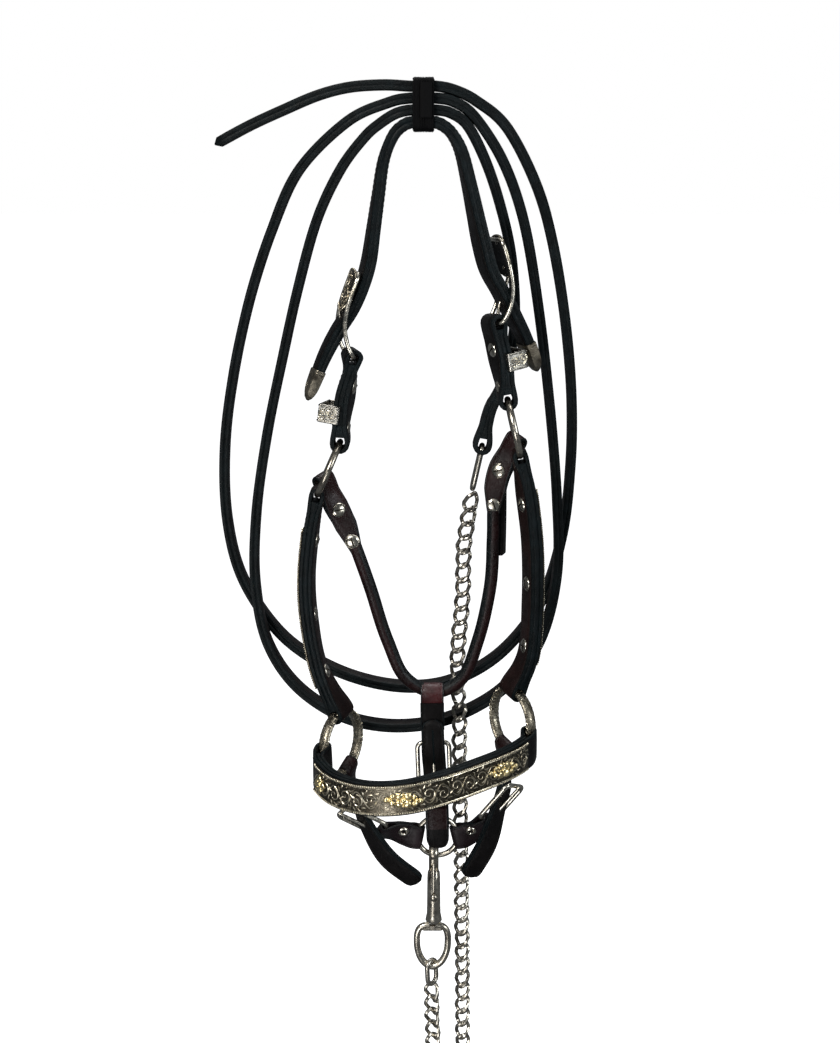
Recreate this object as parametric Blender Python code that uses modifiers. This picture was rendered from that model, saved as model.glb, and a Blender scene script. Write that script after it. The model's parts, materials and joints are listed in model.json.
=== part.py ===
"""A western show halter with its leather lead and chain, hanging from its crown.

The halter faces -Y, +X is to the right as seen from the front, and +Z is up.
The origin is the middle of the hook seat, under the tie at the top of the crown.
All figures below are millimetres until they reach Blender, which gets metres.
"""
import math

import bmesh
import bpy
import numpy as np
from mathutils import Matrix, Vector

MM = 0.001
GAP = 0.35                       # between touching pieces

# Leather
CROWN_WIDTH, CROWN_THICK = 22.0, 8.0
CHAPE_WIDTH, CHAPE_THICK = 20.0, 10.5
CHEEK_WIDTH, CHEEK_THICK = 21.0, 9.5
NOSE_HEIGHT, NOSE_THICK = 25.0, 8.0
THROAT_ROLL = 9.5
JAW_WIDTH, JAW_THICK = 18.0, 6.0
CHIN_WIDTH, CHIN_THICK = 17.0, 4.5
TAB_WIDTH, TAB_HEEL, TAB_THICK = 19.0, 16.0, 6.0
LEAD_WIDTH, LEAD_THICK = 16.0, 7.5
TIE_WIDTH, TIE_THICK = 15.0, 1.9

# Metal
PLATE_THICK = 1.6
UPPER_RING, UPPER_WIRE = 21.5, 2.0    # radius of the wire's centre line, and of the wire
LOWER_RING, LOWER_WIRE = 24.75, 2.25
CHIN_RING, CHIN_WIRE = 16.0, 2.0
BUCKLE_WIRE = 1.6
TONGUE_WIRE = 1.4
SCREW_HEAD, SCREW_HEIGHT, SCREW_POST, SCREW_DEPTH = 3.4, 1.2, 1.4, 4.0
CHAIN_WIDTH = 12.0
LINK_WIRE = 1.6

# Ring centres and the direction that each ring's plane leans in, seen from the front
UPPER_CENTRE = {"left": (-68, 0, -244), "right": (69.5, 0, -213.5)}
UPPER_LEAN = {"left": 24, "right": -13}
LOWER_CENTRE = {"left": (-61, 0, -459), "right": (71, 0, -441)}
LOWER_SPLAY = {"left": -30, "right": 32}
CHIN_CENTRE = (14, 20, -545)
SIDES = ("left", "right")
SIGN = {"left": -1, "right": 1}


# ---------------------------------------------------------------- scene and materials

def clear_scene():
    for old in list(bpy.data.objects):
        bpy.data.objects.remove(old, do_unlink=True)


def new_collection(name):
    made = bpy.data.collections.new(name)
    bpy.context.scene.collection.children.link(made)
    return made


def material(name, colour, roughness, metallic=0.0):
    made = bpy.data.materials.new(name)
    made.use_nodes = True
    shader = made.node_tree.nodes["Principled BSDF"]
    shader.inputs["Base Color"].default_value = (*colour, 1)
    shader.inputs["Roughness"].default_value = roughness
    shader.inputs["Metallic"].default_value = metallic
    made.diffuse_color = (*colour, 1)
    return made


clear_scene()
PARTS = new_collection("show_halter")
CUTTERS = new_collection("cutters")
LEATHER = material("leather", (0.030, 0.017, 0.016), 0.5)
BROWN = material("brown_leather", (0.085, 0.028, 0.026), 0.45)
SILVER = material("silver", (0.55, 0.50, 0.42), 0.35, 1.0)
GOLD = material("gold", (0.80, 0.60, 0.25), 0.3, 1.0)
NICKEL = material("nickel", (0.62, 0.58, 0.52), 0.25, 1.0)
TIE = material("tie", (0.012, 0.012, 0.013), 0.7)


def show(obj, name, finish):
    """Makes an object one of the parts."""
    obj.name = name
    obj.data.materials.clear()
    obj.data.materials.append(finish)
    for home in list(obj.users_collection):
        home.objects.unlink(obj)
    PARTS.objects.link(obj)
    if obj.type == "MESH":
        obj.data.shade_smooth()
        obj.data.set_sharp_from_angle(angle=math.radians(35))
    return obj


def cutter(obj):
    for home in list(obj.users_collection):
        home.objects.unlink(obj)
    CUTTERS.objects.link(obj)
    obj.hide_render = True
    obj.display_type = "WIRE"
    return obj


def boolean(obj, other, operation="DIFFERENCE"):
    cut = obj.modifiers.new(operation.lower(), "BOOLEAN")
    cut.operation = operation
    cut.object = cutter(other)


def from_bmesh(name, mesh_tools):
    bmesh.ops.recalc_face_normals(mesh_tools, faces=mesh_tools.faces)
    mesh = bpy.data.meshes.new(name)
    mesh_tools.to_mesh(mesh)
    mesh_tools.free()
    obj = bpy.data.objects.new(name, mesh)
    bpy.context.scene.collection.objects.link(obj)
    return obj


# ---------------------------------------------------------------- shapes

def rows(points, side, width, thick):
    """One row a point: the point, the strap's width direction, its width and its thickness."""
    made = []
    for i, point in enumerate(points):
        one_side = side[i] if isinstance(side, list) else side
        one_width = width[i] if isinstance(width, list) else width
        one_thick = thick[i] if isinstance(thick, list) else thick
        made.append([*point, *one_side, one_width, one_thick])
    return np.array(made, float)


def catmull_rom(table, counts):
    """Rows along a Catmull-Rom curve through the given rows, a count of them from each row on."""
    padded = np.vstack([2 * table[0] - table[1], table, 2 * table[-1] - table[-2]])
    made = []
    for a, b, c, d, count in zip(padded, padded[1:], padded[2:], padded[3:], counts):
        for t in np.arange(count) / count:
            made.append(0.5 * (2 * b + (c - a) * t + (2 * a - 5 * b + 4 * c - d) * t**2
                               + (3 * b - a - 3 * c + d) * t**3))
    made.append(table[-1])
    return np.array(made)


def through(table, step):
    """The given rows, with smooth ones between them where they are more than a step apart."""
    gaps = np.linalg.norm(np.diff(table[:, :3], axis=0), axis=1)
    return catmull_rom(table, [max(1, round(gap / step)) for gap in gaps])


def smoothed(table, step):
    """Rows at even steps along a smooth curve through the given rows."""
    fine = catmull_rom(table, [16] * (len(table) - 1))
    along = np.concatenate([[0], np.cumsum(np.linalg.norm(np.diff(fine[:, :3], axis=0), axis=1))])
    wanted = np.linspace(0, along[-1], max(2, round(along[-1] / step) + 1))
    return np.stack([np.interp(wanted, along, column) for column in fine.T], axis=1)


def rounded_off(table, round_start, round_end):
    """Adds short thinner rows past the ends, so that a folded end is round."""
    table = [row for row in table]
    for ready, at, inner in ((round_start, 0, 1), (round_end, -1, -2)):
        if not ready:
            continue
        row = table[at].copy()
        out = row[:3] - table[inner][:3]
        out /= np.linalg.norm(out)
        for angle in (40, 72):
            extra = row.copy()
            extra[:3] += out * row[7] / 2 * math.sin(math.radians(angle))
            extra[7] *= math.cos(math.radians(angle))
            table.insert(0, extra) if at == 0 else table.append(extra)
    return np.array(table)


def strap(name, table, chamfer=1.2, corners=8):
    """A strap of rectangular section with broken edges, swept along its rows."""
    shape = bmesh.new()
    loops = []
    points = [Vector(row[:3]) for row in table]
    for i, row in enumerate(table):
        ahead = (points[min(i + 1, len(points) - 1)] - points[max(i - 1, 0)]).normalized()
        side = Vector(row[3:6])
        side = (side - ahead * side.dot(ahead)).normalized()
        face = ahead.cross(side)
        a, b = row[6] / 2, row[7] / 2
        c = min(chamfer, 0.6 * b)
        if corners == 4:
            outline = [(a, b), (-a, b), (-a, -b), (a, -b)]
        else:
            outline = [(a - c, b), (c - a, b), (-a, b - c), (-a, c - b),
                       (c - a, -b), (a - c, -b), (a, c - b), (a, b - c)]
        loops.append([shape.verts.new((points[i] + side * u + face * v) * MM) for u, v in outline])
    for one, two in zip(loops, loops[1:]):
        for j in range(len(one)):
            k = (j + 1) % len(one)
            shape.faces.new((one[j], one[k], two[k], two[j]))
    shape.faces.new(loops[0])
    shape.faces.new(loops[-1])
    return from_bmesh(name, shape)


def tube(name, points, radius, closed=False, resolution=2):
    """A round wire, rope or chain sleeve through the given points."""
    curve = bpy.data.curves.new(name, "CURVE")
    curve.dimensions = "3D"
    curve.bevel_depth = radius * MM
    curve.bevel_resolution = resolution
    curve.use_fill_caps = True
    line = curve.splines.new("POLY")
    line.points.add(len(points) - 1)
    for knot, point in zip(line.points, points):
        knot.co = (*(Vector(point) * MM), 1)
    line.use_cyclic_u = closed
    obj = bpy.data.objects.new(name, curve)
    bpy.context.scene.collection.objects.link(obj)
    return obj


def sheet(name, outlines, thick):
    """A flat plate in its own XY plane, with the later outlines as holes."""
    curve = bpy.data.curves.new(name, "CURVE")
    curve.dimensions = "2D"
    curve.fill_mode = "BOTH"
    curve.extrude = thick / 2 * MM
    for outline in outlines:
        line = curve.splines.new("POLY")
        line.points.add(len(outline) - 1)
        for knot, (x, y) in zip(line.points, outline):
            knot.co = (x * MM, y * MM, 0, 1)
        line.use_cyclic_u = True
    obj = bpy.data.objects.new(name, curve)
    bpy.context.scene.collection.objects.link(obj)
    return obj


def as_mesh(obj):
    """The same object as a welded mesh, which a Boolean can take."""
    bpy.context.view_layer.update()
    mesh = bpy.data.meshes.new_from_object(obj.evaluated_get(bpy.context.evaluated_depsgraph_get()))
    solid = bpy.data.objects.new(obj.name, mesh)
    solid.matrix_world = obj.matrix_world
    bpy.context.scene.collection.objects.link(solid)
    bpy.data.objects.remove(obj, do_unlink=True)
    edit = bmesh.new()
    edit.from_mesh(mesh)
    bmesh.ops.remove_doubles(edit, verts=edit.verts, dist=1e-6)
    bmesh.ops.recalc_face_normals(edit, faces=edit.faces)
    edit.to_mesh(mesh)
    edit.free()
    return solid


def torus(name, centre, turn, radius, wire, around=24, section=6):
    bpy.ops.mesh.primitive_torus_add(
        major_segments=around, minor_segments=section, major_radius=radius * MM,
        minor_radius=wire * MM, location=Vector(centre) * MM, rotation=turn)
    bpy.context.object.name = name
    return bpy.context.object


def rod(name, start, end, radius, sides=12):
    """A cylinder from start to end."""
    start, end = Vector(start), Vector(end)
    bpy.ops.mesh.primitive_cylinder_add(
        vertices=sides, radius=radius * MM, depth=(end - start).length * MM,
        location=(start + end) / 2 * MM)
    obj = bpy.context.object
    obj.rotation_mode = "QUATERNION"
    obj.rotation_quaternion = Vector((0, 0, 1)).rotation_difference(end - start)
    obj.name = name
    return obj


def box(name, low, high):
    low, high = Vector(low), Vector(high)
    bpy.ops.mesh.primitive_cube_add(size=1, location=(low + high) / 2 * MM)
    obj = bpy.context.object
    obj.scale = (high - low) * MM
    bpy.ops.object.transform_apply(location=False, rotation=False, scale=True)
    obj.name = name
    return obj


def turned(name, profile, steps=8):
    """A profile of (radius, height) points, top to bottom, turned about Z."""
    mesh = bpy.data.meshes.new(name)
    mesh.from_pydata([(r * MM, 0, z * MM) for r, z in profile],
                     [(i, i + 1) for i in range(len(profile) - 1)], [])
    obj = bpy.data.objects.new(name, mesh)
    bpy.context.scene.collection.objects.link(obj)
    spin = obj.modifiers.new("turn", "SCREW")
    spin.steps = spin.render_steps = steps
    spin.use_merge_vertices = True
    spin.merge_threshold = 1e-5
    return obj


def arc(centre, radius, start, stop, count):
    """Points (x, y) on an arc, angles in degrees."""
    return [(centre[0] + radius * math.cos(math.radians(a)), centre[1] + radius * math.sin(math.radians(a)))
            for a in np.linspace(start, stop, count)]


def rounded_outline(x0, y0, x1, y1, radius, count=4):
    """A rectangle with round corners, anticlockwise."""
    return (arc((x1 - radius, y0 + radius), radius, -90, 0, count)
            + arc((x1 - radius, y1 - radius), radius, 0, 90, count)
            + arc((x0 + radius, y1 - radius), radius, 90, 180, count)
            + arc((x0 + radius, y0 + radius), radius, 180, 270, count))


def screw(name, host, seat, outward):
    """A screw whose head sits on a strap and whose post goes down a blind hole in it."""
    seat, outward = Vector(seat), Vector(outward).normalized()
    turn = Vector((0, 0, 1)).rotation_difference(outward)
    top = SCREW_HEIGHT + GAP
    profile = [(0, top), (SCREW_HEAD, top), (SCREW_HEAD, GAP), (SCREW_POST, GAP),
               (SCREW_POST, -SCREW_DEPTH), (0, -SCREW_DEPTH)]
    made = turned(name, profile)
    made.location = seat * MM
    made.rotation_mode = "QUATERNION"
    made.rotation_quaternion = turn
    show(made, name, NICKEL)
    hole = rod(name + "_hole", seat - outward * (SCREW_DEPTH + GAP), seat + outward * 3,
               SCREW_POST + GAP, 8)
    boolean(host, hole)
    return made


def across(splay):
    """Width direction of a hanging strap whose front edge leans out by splay degrees."""
    return (math.sin(math.radians(splay)), -math.cos(math.radians(splay)), 0)


# ---------------------------------------------------------------- rings

def upper_turn(side):
    """The ring stands in the plane of Y and a line that leans by UPPER_LEAN from the vertical."""
    return (0, math.radians(90 + UPPER_LEAN[side]), 0)


def lower_turn(side):
    return (0, math.radians(90), math.radians(LOWER_SPLAY[side]))


CHIN_TURN = (math.radians(90), 0, 0)


def ring_channel(name, centre, turn, radius, wire, room):
    return torus(name, centre, turn, radius, wire + room, 24, 8)


for side in SIDES:
    show(torus("ring", UPPER_CENTRE[side], upper_turn(side), UPPER_RING, UPPER_WIRE),
         "upper_ring_" + side, NICKEL)
    show(torus("ring", LOWER_CENTRE[side], lower_turn(side), LOWER_RING, LOWER_WIRE),
         "lower_ring_" + side, SILVER)
show(torus("ring", CHIN_CENTRE, CHIN_TURN, CHIN_RING, CHIN_WIRE), "chin_ring", NICKEL)


def on_upper_ring(side, down):
    """A point on the upper ring's middle plane, down its lean from the centre."""
    lean = math.radians(UPPER_LEAN[side])
    centre = UPPER_CENTRE[side]
    return (centre[0] - down * math.sin(lean), 0, centre[2] - down * math.cos(lean))


# ---------------------------------------------------------------- buckles

class Buckle:
    """A wire buckle. Its own X is along the heel bar, Y from the heel to the toe, Z outward.

    Its side rails bow outward by bow, and its tongue follows the (y, z) points of path.
    """

    def __init__(self, name, heel, toe, bar, width, finish, path, bow=0.0, plate=0.0):
        heel, toe, bar = Vector(heel), Vector(toe), Vector(bar)
        along = (toe - heel).normalized()
        bar = (bar - along * bar.dot(along)).normalized()
        self.name, self.length, self.width, self.bow = name, (toe - heel).length, width, bow
        self.heel, self.along, self.bar, self.out = heel, along, bar, bar.cross(along)
        self.path = path
        self.empty = bpy.data.objects.new(name + "_place", None)
        self.empty.empty_display_size = 0.01
        PARTS.objects.link(self.empty)
        grid = Matrix((bar, along, self.out)).transposed().to_4x4()
        grid.translation = heel * MM
        self.empty.matrix_world = grid
        outline = self.with_rails(rounded_outline(-width / 2, 0, width / 2, self.length, 4, 3))
        wire = tube(name, [(x, y, self.height(y)) for x, y in outline], BUCKLE_WIRE, closed=True)
        frame = as_mesh(self.placed(wire))
        if plate:
            edge = width / 2 + 1.5
            cover = sheet(name + "_plate", [rounded_outline(-edge, -plate, edge, 3, 11, 5)], 2.4)
            cover.location = (0, self.length * MM, 0)
            cover.rotation_euler = (-math.atan2(self.height(self.length - plate), plate), 0, 0)
            boolean(frame, as_mesh(self.placed(cover)), "UNION")
        self.frame = show(frame, name, finish)

    def height(self, y):
        return self.bow * math.sin(math.pi * max(0.0, y / self.length) ** 0.75)

    def with_rails(self, outline):
        """The outline with three more points down each long side."""
        made = []
        for (x0, y0), (x1, y1) in zip(outline, outline[1:] + outline[:1]):
            made.append((x0, y0))
            if abs(y1 - y0) > 0.4 * self.length:
                made += [(x0, y0 + (y1 - y0) * f) for f in (0.25, 0.5, 0.75)]
        return made

    def placed(self, obj):
        obj.parent = self.empty
        obj.matrix_parent_inverse = Matrix.Identity(4)
        bpy.context.view_layer.update()
        return obj

    def point(self, x, y, z):
        return self.heel + self.bar * x + self.along * y + self.out * z

    def tongue(self, name, finish):
        """The tongue turns on the heel bar and lies over the toe or the plate."""
        pin = as_mesh(self.placed(tube(name, [(0, y, z) for y, z in self.path], TONGUE_WIRE)))
        eye = rod(name + "_eye", self.point(-2.2, 0, 0), self.point(2.2, 0, 0), BUCKLE_WIRE + 2.1, 14)
        boolean(pin, eye, "UNION")
        bore = rod(name + "_bore", self.point(-4, 0, 0), self.point(4, 0, 0), BUCKLE_WIRE + GAP, 14)
        boolean(pin, bore)
        return show(pin, name, finish)

    def clear_tongue(self, strap_object, swing):
        """An oval hole through the strap, wide enough for the tongue and its play."""
        room = TONGUE_WIRE + 0.8
        low = [(y, z - room) for y, z in self.path]
        turn = Matrix.Rotation(math.radians(swing), 2)
        high = [turn @ Vector((y, z)) + Vector((0, room)) for y, z in self.path]
        fan = sheet(self.name + "_fan", [low + [tuple(p) for p in high[::-1]]], 2 * room)
        fan.rotation_euler = (math.radians(90), 0, math.radians(90))
        boolean(strap_object, as_mesh(self.placed(fan)))

    def clear_heel(self, strap_object, slot_width=5.6):
        """The channel of the heel bar through a strap's fold, and the slot for the tongue's eye."""
        half = self.width / 2 - 1
        boolean(strap_object, rod(self.name + "_bar_channel", self.point(-half, 0, 0),
                                  self.point(half, 0, 0), BUCKLE_WIRE + GAP, 14))
        reach = BUCKLE_WIRE + 2.1 + 0.8
        boolean(strap_object, rod(self.name + "_slot", self.point(-slot_width / 2, 0, 0),
                                  self.point(slot_width / 2, 0, 0), reach, 14))


# ---------------------------------------------------------------- crown

CROWN_UP = 2.2 + CROWN_THICK / 2      # centre line of the crown over the hook seat
CROWN_LEFT = [(-83, -190), (-77, -175), (-69.5, -158), (-60, -141), (-50, -126), (-42.5, -110),
              (-37, -92), (-33.5, -69), (-30, -45), (-26, -20), (-19, -3), (-12, 4)]
CROWN_TOP = [(-6, CROWN_UP), (2.5, CROWN_UP), (11, CROWN_UP)]
CROWN_RIGHT = [(17, 3.6), (23, -2), (29.5, -15), (35, -38), (39.5, -59), (44, -80), (49.5, -98),
               (59, -114), (68, -130), (77, -146), (84, -161), (88, -171)]
BUCKLE_X = {"left": -50, "right": 54}
CROWN_TURN = {"left": 14, "right": 20}  # degrees that the buckles are turned to the front
TONGUE_PLAY = 8                       # degrees

def crown_points():
    """The crown's route and width directions. Its ends turn with the buckles they go through."""
    points, sides = [], []
    for route, pivot, full in ((CROWN_LEFT[::-1], BUCKLE_X["left"], CROWN_TURN["left"]),
                               (CROWN_TOP, 0, 0), (CROWN_RIGHT, BUCKLE_X["right"], CROWN_TURN["right"])):
        part = []
        for i, (x, z) in enumerate(route):
            degrees = full * min(1, max(0, (i - 1) / 4))
            turn = math.radians(degrees)
            place = (pivot + (x - pivot) * math.cos(turn), (x - pivot) * math.sin(turn), z)
            part.append((place, across(degrees)))
        if route[0] == CROWN_LEFT[-1]:
            part.reverse()
        points += [place for place, side in part]
        sides += [side for place, side in part]
    return points, sides


crown_table = rows(*crown_points(),
                   [13.0, 18.0, 21.0] + [CROWN_WIDTH] * 21 + [21.0, 18.0, 13.0], CROWN_THICK)
crown_table[:3, 7] = 5.5, 6.5, 7.5
crown_table[-3:, 7] = 7.5, 6.5, 5.5
flat = len(CROWN_LEFT)                # the crown lies flat between its three top points
crown_rows = np.vstack([smoothed(crown_table[:flat + 1], 12), crown_table[flat + 1:flat + 2],
                        smoothed(crown_table[flat + 2:], 12)])
crown = show(strap("crown_strap", crown_rows), "crown_strap", LEATHER)

CROWN_TONGUE = [(1.5, 2.9), (12, 4.2), (24, 8.5), (35, 11.2), (40, 11.4)]
CROWN_BUCKLE = {"left": dict(heel=(-50, 0, -161), toe=(-47, 0, -100), bar=(0.242, -0.97, 0)),
                "right": dict(heel=(54, 0, -136), toe=(54, 0, -76), bar=(-0.342, 0.94, 0))}
crown_buckles = {}
for side in SIDES:
    made = Buckle("crown_buckle_" + side, width=28, finish=SILVER, path=CROWN_TONGUE, bow=9, plate=25,
                  **CROWN_BUCKLE[side])
    made.tongue("crown_tongue_" + side, NICKEL)
    made.clear_tongue(crown, TONGUE_PLAY)
    crown_buckles[side] = made


def offset(table, distance):
    """The same rows moved off the strap's face, to lay a plate on it."""
    moved = table.copy()
    for i, row in enumerate(table):
        ahead = Vector(table[min(i + 1, len(table) - 1), :3] - table[max(i - 1, 0), :3]).normalized()
        side = Vector(row[3:6])
        face = ahead.cross(side - ahead * side.dot(ahead)).normalized()
        moved[i, :3] = Vector(row[:3]) + face * distance
    return moved


def face_of(table, i):
    """Outward direction of a strap's face at one of its rows."""
    return Vector(offset(table, 1.0)[i, :3] - table[i, :3])


def resized(table, width, thick):
    made = table.copy()
    made[:, 6] = width
    made[:, 7] = thick
    return made


# ---------------------------------------------------------------- billet tips

def ferrule(name, table, reach):
    """A metal cap over the last rows of a billet, open towards the strap."""
    end = table[:4] if reach == "start" else table[:-5:-1]
    cap = end[:3].copy()
    cap[0, :3] += (end[0, :3] - end[1, :3]) / np.linalg.norm(end[0, :3] - end[1, :3]) * 2.2
    cap[:, 6] += 2 * (GAP + 0.9)
    cap[:, 7] += 2 * (GAP + 0.9)
    hollow = end.copy()
    hollow[0, :3] += (end[0, :3] - end[1, :3]) / np.linalg.norm(end[0, :3] - end[1, :3]) * GAP
    hollow[:, 6] += 2 * GAP
    hollow[:, 7] += 2 * GAP
    shell = strap(name, cap)
    boolean(shell, strap(name + "_hollow", hollow))
    show(shell, name, SILVER)


ferrule("crown_tip_left", crown_rows, "start")
ferrule("crown_tip_right", crown_rows, "end")

# ---------------------------------------------------------------- chapes and keepers

CHAPE_MIDDLE = {"left": [(-51.5, -172), (-55, -190), (-58, -208)],
                "right": [(55.5, -147), (59, -162), (62, -178)]}
CHAPE_SPLAY = {"left": -14, "right": 28}
for side in SIDES:
    heel = CROWN_BUCKLE[side]["heel"]
    ring_top = on_upper_ring(side, -UPPER_RING)
    points = [heel] + [(x, 0, z) for x, z in CHAPE_MIDDLE[side]] + [ring_top]
    splay = CHAPE_SPLAY[side]
    turn = CROWN_TURN[side]
    sides = [across(t) for t in (turn, (turn + splay) / 2, splay, splay / 2, 0)]
    table = rows(points, sides, CHAPE_WIDTH, [8.5, CHAPE_THICK - 1, CHAPE_THICK, CHAPE_THICK, 10])
    table = smoothed(table, 10)
    chape = show(strap("chape", rounded_off(table, True, True)), "chape_" + side, LEATHER)
    crown_buckles[side].clear_heel(chape)
    boolean(chape, ring_channel("chape_channel", UPPER_CENTRE[side], upper_turn(side),
                                UPPER_RING, UPPER_WIRE, GAP))
    inward = -SIGN[side]
    for i, at in enumerate((2, 5)):
        face = face_of(table, at)
        face *= math.copysign(1, face.x * inward)
        screw(f"chape_screw_{side}_{i + 1}", chape, Vector(table[at, :3]) + face * table[at, 7] / 2, face)
    # The silver keeper's inner leg is sewn in between the chape's two layers.
    at = 3 if side == "right" else 4
    middle = Vector(table[at, :3])
    down = Vector(table[at + 1, :3] - table[at - 1, :3]).normalized()
    wide = Vector(across(CHAPE_SPLAY[side]))
    outward = wide.cross(down)
    outward *= math.copysign(1, outward.x * SIGN[side])
    grid = Matrix((wide, outward, wide.cross(outward))).transposed().to_4x4()
    grid.translation = middle * MM
    loop = sheet("keeper", [rounded_outline(-13.3, -1.0, 13.3, 15.5, 2, 2),
                            rounded_outline(-11.8, 0.5, 11.8, 14.0, 1, 2)], 13)
    loop.matrix_world = grid
    show(as_mesh(loop), "keeper_" + side, SILVER)
    slot = box("keeper_slot", (-20, -1.0 - GAP, -6.5 - GAP), (20, 0.5 + GAP, 6.5 + GAP))
    slot.matrix_world = grid @ slot.matrix_world
    boolean(chape, slot)

# ---------------------------------------------------------------- cheeks

CHEEK_MIDDLE = {"left": [(-81.5, -292), (-85, -328), (-83.5, -361), (-76.5, -400)],
                "right": [(79, -262), (84, -302), (85, -346), (82.5, -388)]}
CHEEK_TURN = {"left": -6, "right": 18}
for side in SIDES:
    ring_bottom = on_upper_ring(side, UPPER_RING)
    low = LOWER_CENTRE[side]
    points = [ring_bottom] + [(x, 0, z) for x, z in CHEEK_MIDDLE[side]] + [(low[0], 0, low[2] + LOWER_RING)]
    turns = [0, CHEEK_TURN[side], CHEEK_TURN[side], CHEEK_TURN[side], CHEEK_TURN[side], LOWER_SPLAY[side]]
    table = smoothed(rows(points, [across(t) for t in turns], CHEEK_WIDTH,
                          [9.5, CHEEK_THICK, CHEEK_THICK, CHEEK_THICK, CHEEK_THICK, 9.5]), 12)
    cheek = show(strap("cheek", rounded_off(table, True, True)), "cheek_" + side, LEATHER)
    boolean(cheek, ring_channel("cheek_top_channel", UPPER_CENTRE[side], upper_turn(side),
                                UPPER_RING, UPPER_WIRE, GAP))
    boolean(cheek, ring_channel("cheek_low_channel", low, lower_turn(side), LOWER_RING, LOWER_WIRE, GAP))
    outer = math.copysign(1, face_of(table, 6).x * SIGN[side])
    plate = resized(offset(table[2:-2], outer * (CHEEK_THICK / 2 + GAP + PLATE_THICK / 2)),
                    CHEEK_WIDTH - 4, PLATE_THICK)
    show(strap("plate", plate, 0.4, 4), "cheek_plate_" + side, SILVER)
    for i, at in enumerate((3, 8, len(table) - 4)):
        face = face_of(table, at) * -outer
        screw(f"cheek_screw_{side}_{i + 1}", cheek, Vector(table[at, :3]) + face * CHEEK_THICK / 2, face)

# ---------------------------------------------------------------- noseband

NOSE_ROUTE = [(-73, -20.7, -465.4), (-76, -32, -466.5), (-74.5, -46, -468), (-62, -67, -471),
              (-40, -84, -471), (-13, -91, -468), (14, -86, -463.5), (44, -69, -459),
              (66, -51, -456.5), (80, -31, -455), (82.7, -18.2, -453.4)]
NOSE_ROOM = 1.7                       # play of the end loops round the lower rings
nose_table = smoothed(rows(NOSE_ROUTE, (0, 0, 1), NOSE_HEIGHT,
                           [12, 10] + [NOSE_THICK] * 8 + [12]), 10)
noseband = show(strap("noseband", rounded_off(nose_table, True, True), 2.0), "noseband", LEATHER)
for side in SIDES:
    boolean(noseband, ring_channel("nose_channel", LOWER_CENTRE[side], lower_turn(side),
                                   LOWER_RING, LOWER_WIRE, NOSE_ROOM))
nose_out = math.copysign(1, -face_of(nose_table, len(nose_table) // 2).y)
nose_lift = NOSE_THICK / 2 + GAP + PLATE_THICK / 2
plate_table = resized(offset(nose_table[3:-2], nose_out * nose_lift), NOSE_HEIGHT - 4, PLATE_THICK)
show(strap("plate", plate_table, 0.4, 4), "noseband_plate", SILVER)


def rosette(name, table, at, thick=2.2):
    """A four-petalled ornament on a square heart, flat on the noseband's plate."""
    petal, waist = 7.5, 2.8
    outline = []
    for quarter in range(4):
        turn = Matrix.Rotation(math.radians(90 * quarter), 2)
        lobe = [(waist, -waist)] + arc((petal - 3.2, 0), 3.6, -60, 60, 5)
        outline += [tuple(turn @ Vector(point)) for point in lobe]
    flower = sheet(name, [outline], thick)
    face = face_of(table, at) * nose_out
    up = Vector((0, 0, 1))
    up = (up - face * up.dot(face)).normalized()
    grid = Matrix((up.cross(face), up, face)).transposed().to_4x4()
    grid.translation = (Vector(table[at, :3]) + face * (PLATE_THICK / 2 + GAP + thick / 2)) * MM
    flower.matrix_world = grid
    show(as_mesh(flower), name, GOLD)


for name, at in (("rosette_left", 1), ("rosette_centre", 8), ("rosette_right", len(plate_table) - 4)):
    rosette(name, plate_table, at)

# ---------------------------------------------------------------- throat strap

THROAT_AT = math.radians(54)          # behind the bottom of the upper ring


def throat_end(side):
    """The point of the upper ring's wire that the throat strap hangs from, and the wire's direction."""
    lean = math.radians(UPPER_LEAN[side])
    down = Vector((-math.sin(lean), 0, -math.cos(lean)))
    back = Vector((0, 1, 0))
    from_centre = back * math.sin(THROAT_AT) + down * math.cos(THROAT_AT)
    wire = back * math.cos(THROAT_AT) - down * math.sin(THROAT_AT)
    return tuple(Vector(UPPER_CENTRE[side]) + UPPER_RING * from_centre), tuple(wire)


left_end, left_wire = throat_end("left")
right_end, right_wire = throat_end("right")
THROAT_ROUTE = [left_end, (-66, 18, -272), (-56, 17, -292), (-47, 17, -315), (-38, 18, -342),
                (-25, 20, -384), (-12, 21, -413), (11, 22, -426), (33, 21, -414), (45, 20, -383),
                (54, 18, -342), (56, 17, -303), (56, 16, -274), (60, 17, -250), right_end]
THROAT_SIDES = ([left_wire, (0.7, 0.5, 0.5), (0.93, 0, 0.35), (0.93, 0, 0.35)] + [(0.9, 0, 0.4)] * 2
                + [(0.6, 0, 0.8), (0, 0, 1), (-0.6, 0, 0.8), (-0.95, 0, 0.3)] + [(-1, 0, 0.1)] * 3
                + [(-0.9, 0.4, 0.3), right_wire])
ROLLED = [THROAT_ROLL] * 8
throat_table = rows(THROAT_ROUTE, THROAT_SIDES, [14, 16, 17, 13] + ROLLED + [17, 16, 14],
                    [8, 6, 6, 8] + ROLLED + [6, 6, 8])
throat_table = smoothed(throat_table, 13)
throat = show(strap("throat", rounded_off(throat_table, True, True), 2.8), "throat_strap", BROWN)
for side in SIDES:
    boolean(throat, ring_channel("throat_channel", UPPER_CENTRE[side], upper_turn(side),
                                 UPPER_RING, UPPER_WIRE, GAP))
for side, first, second in (("left", 2, 4), ("right", -3, -5)):
    for i, at in enumerate((first, second)):
        face = face_of(throat_table, at % len(throat_table))
        face *= math.copysign(1, -face.y)
        seat = Vector(throat_table[at, :3]) + face * throat_table[at, 7] / 2
        screw(f"throat_screw_{side}_{i + 1}", throat, seat, face)


# ---------------------------------------------------------------- jaw strap

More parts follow.
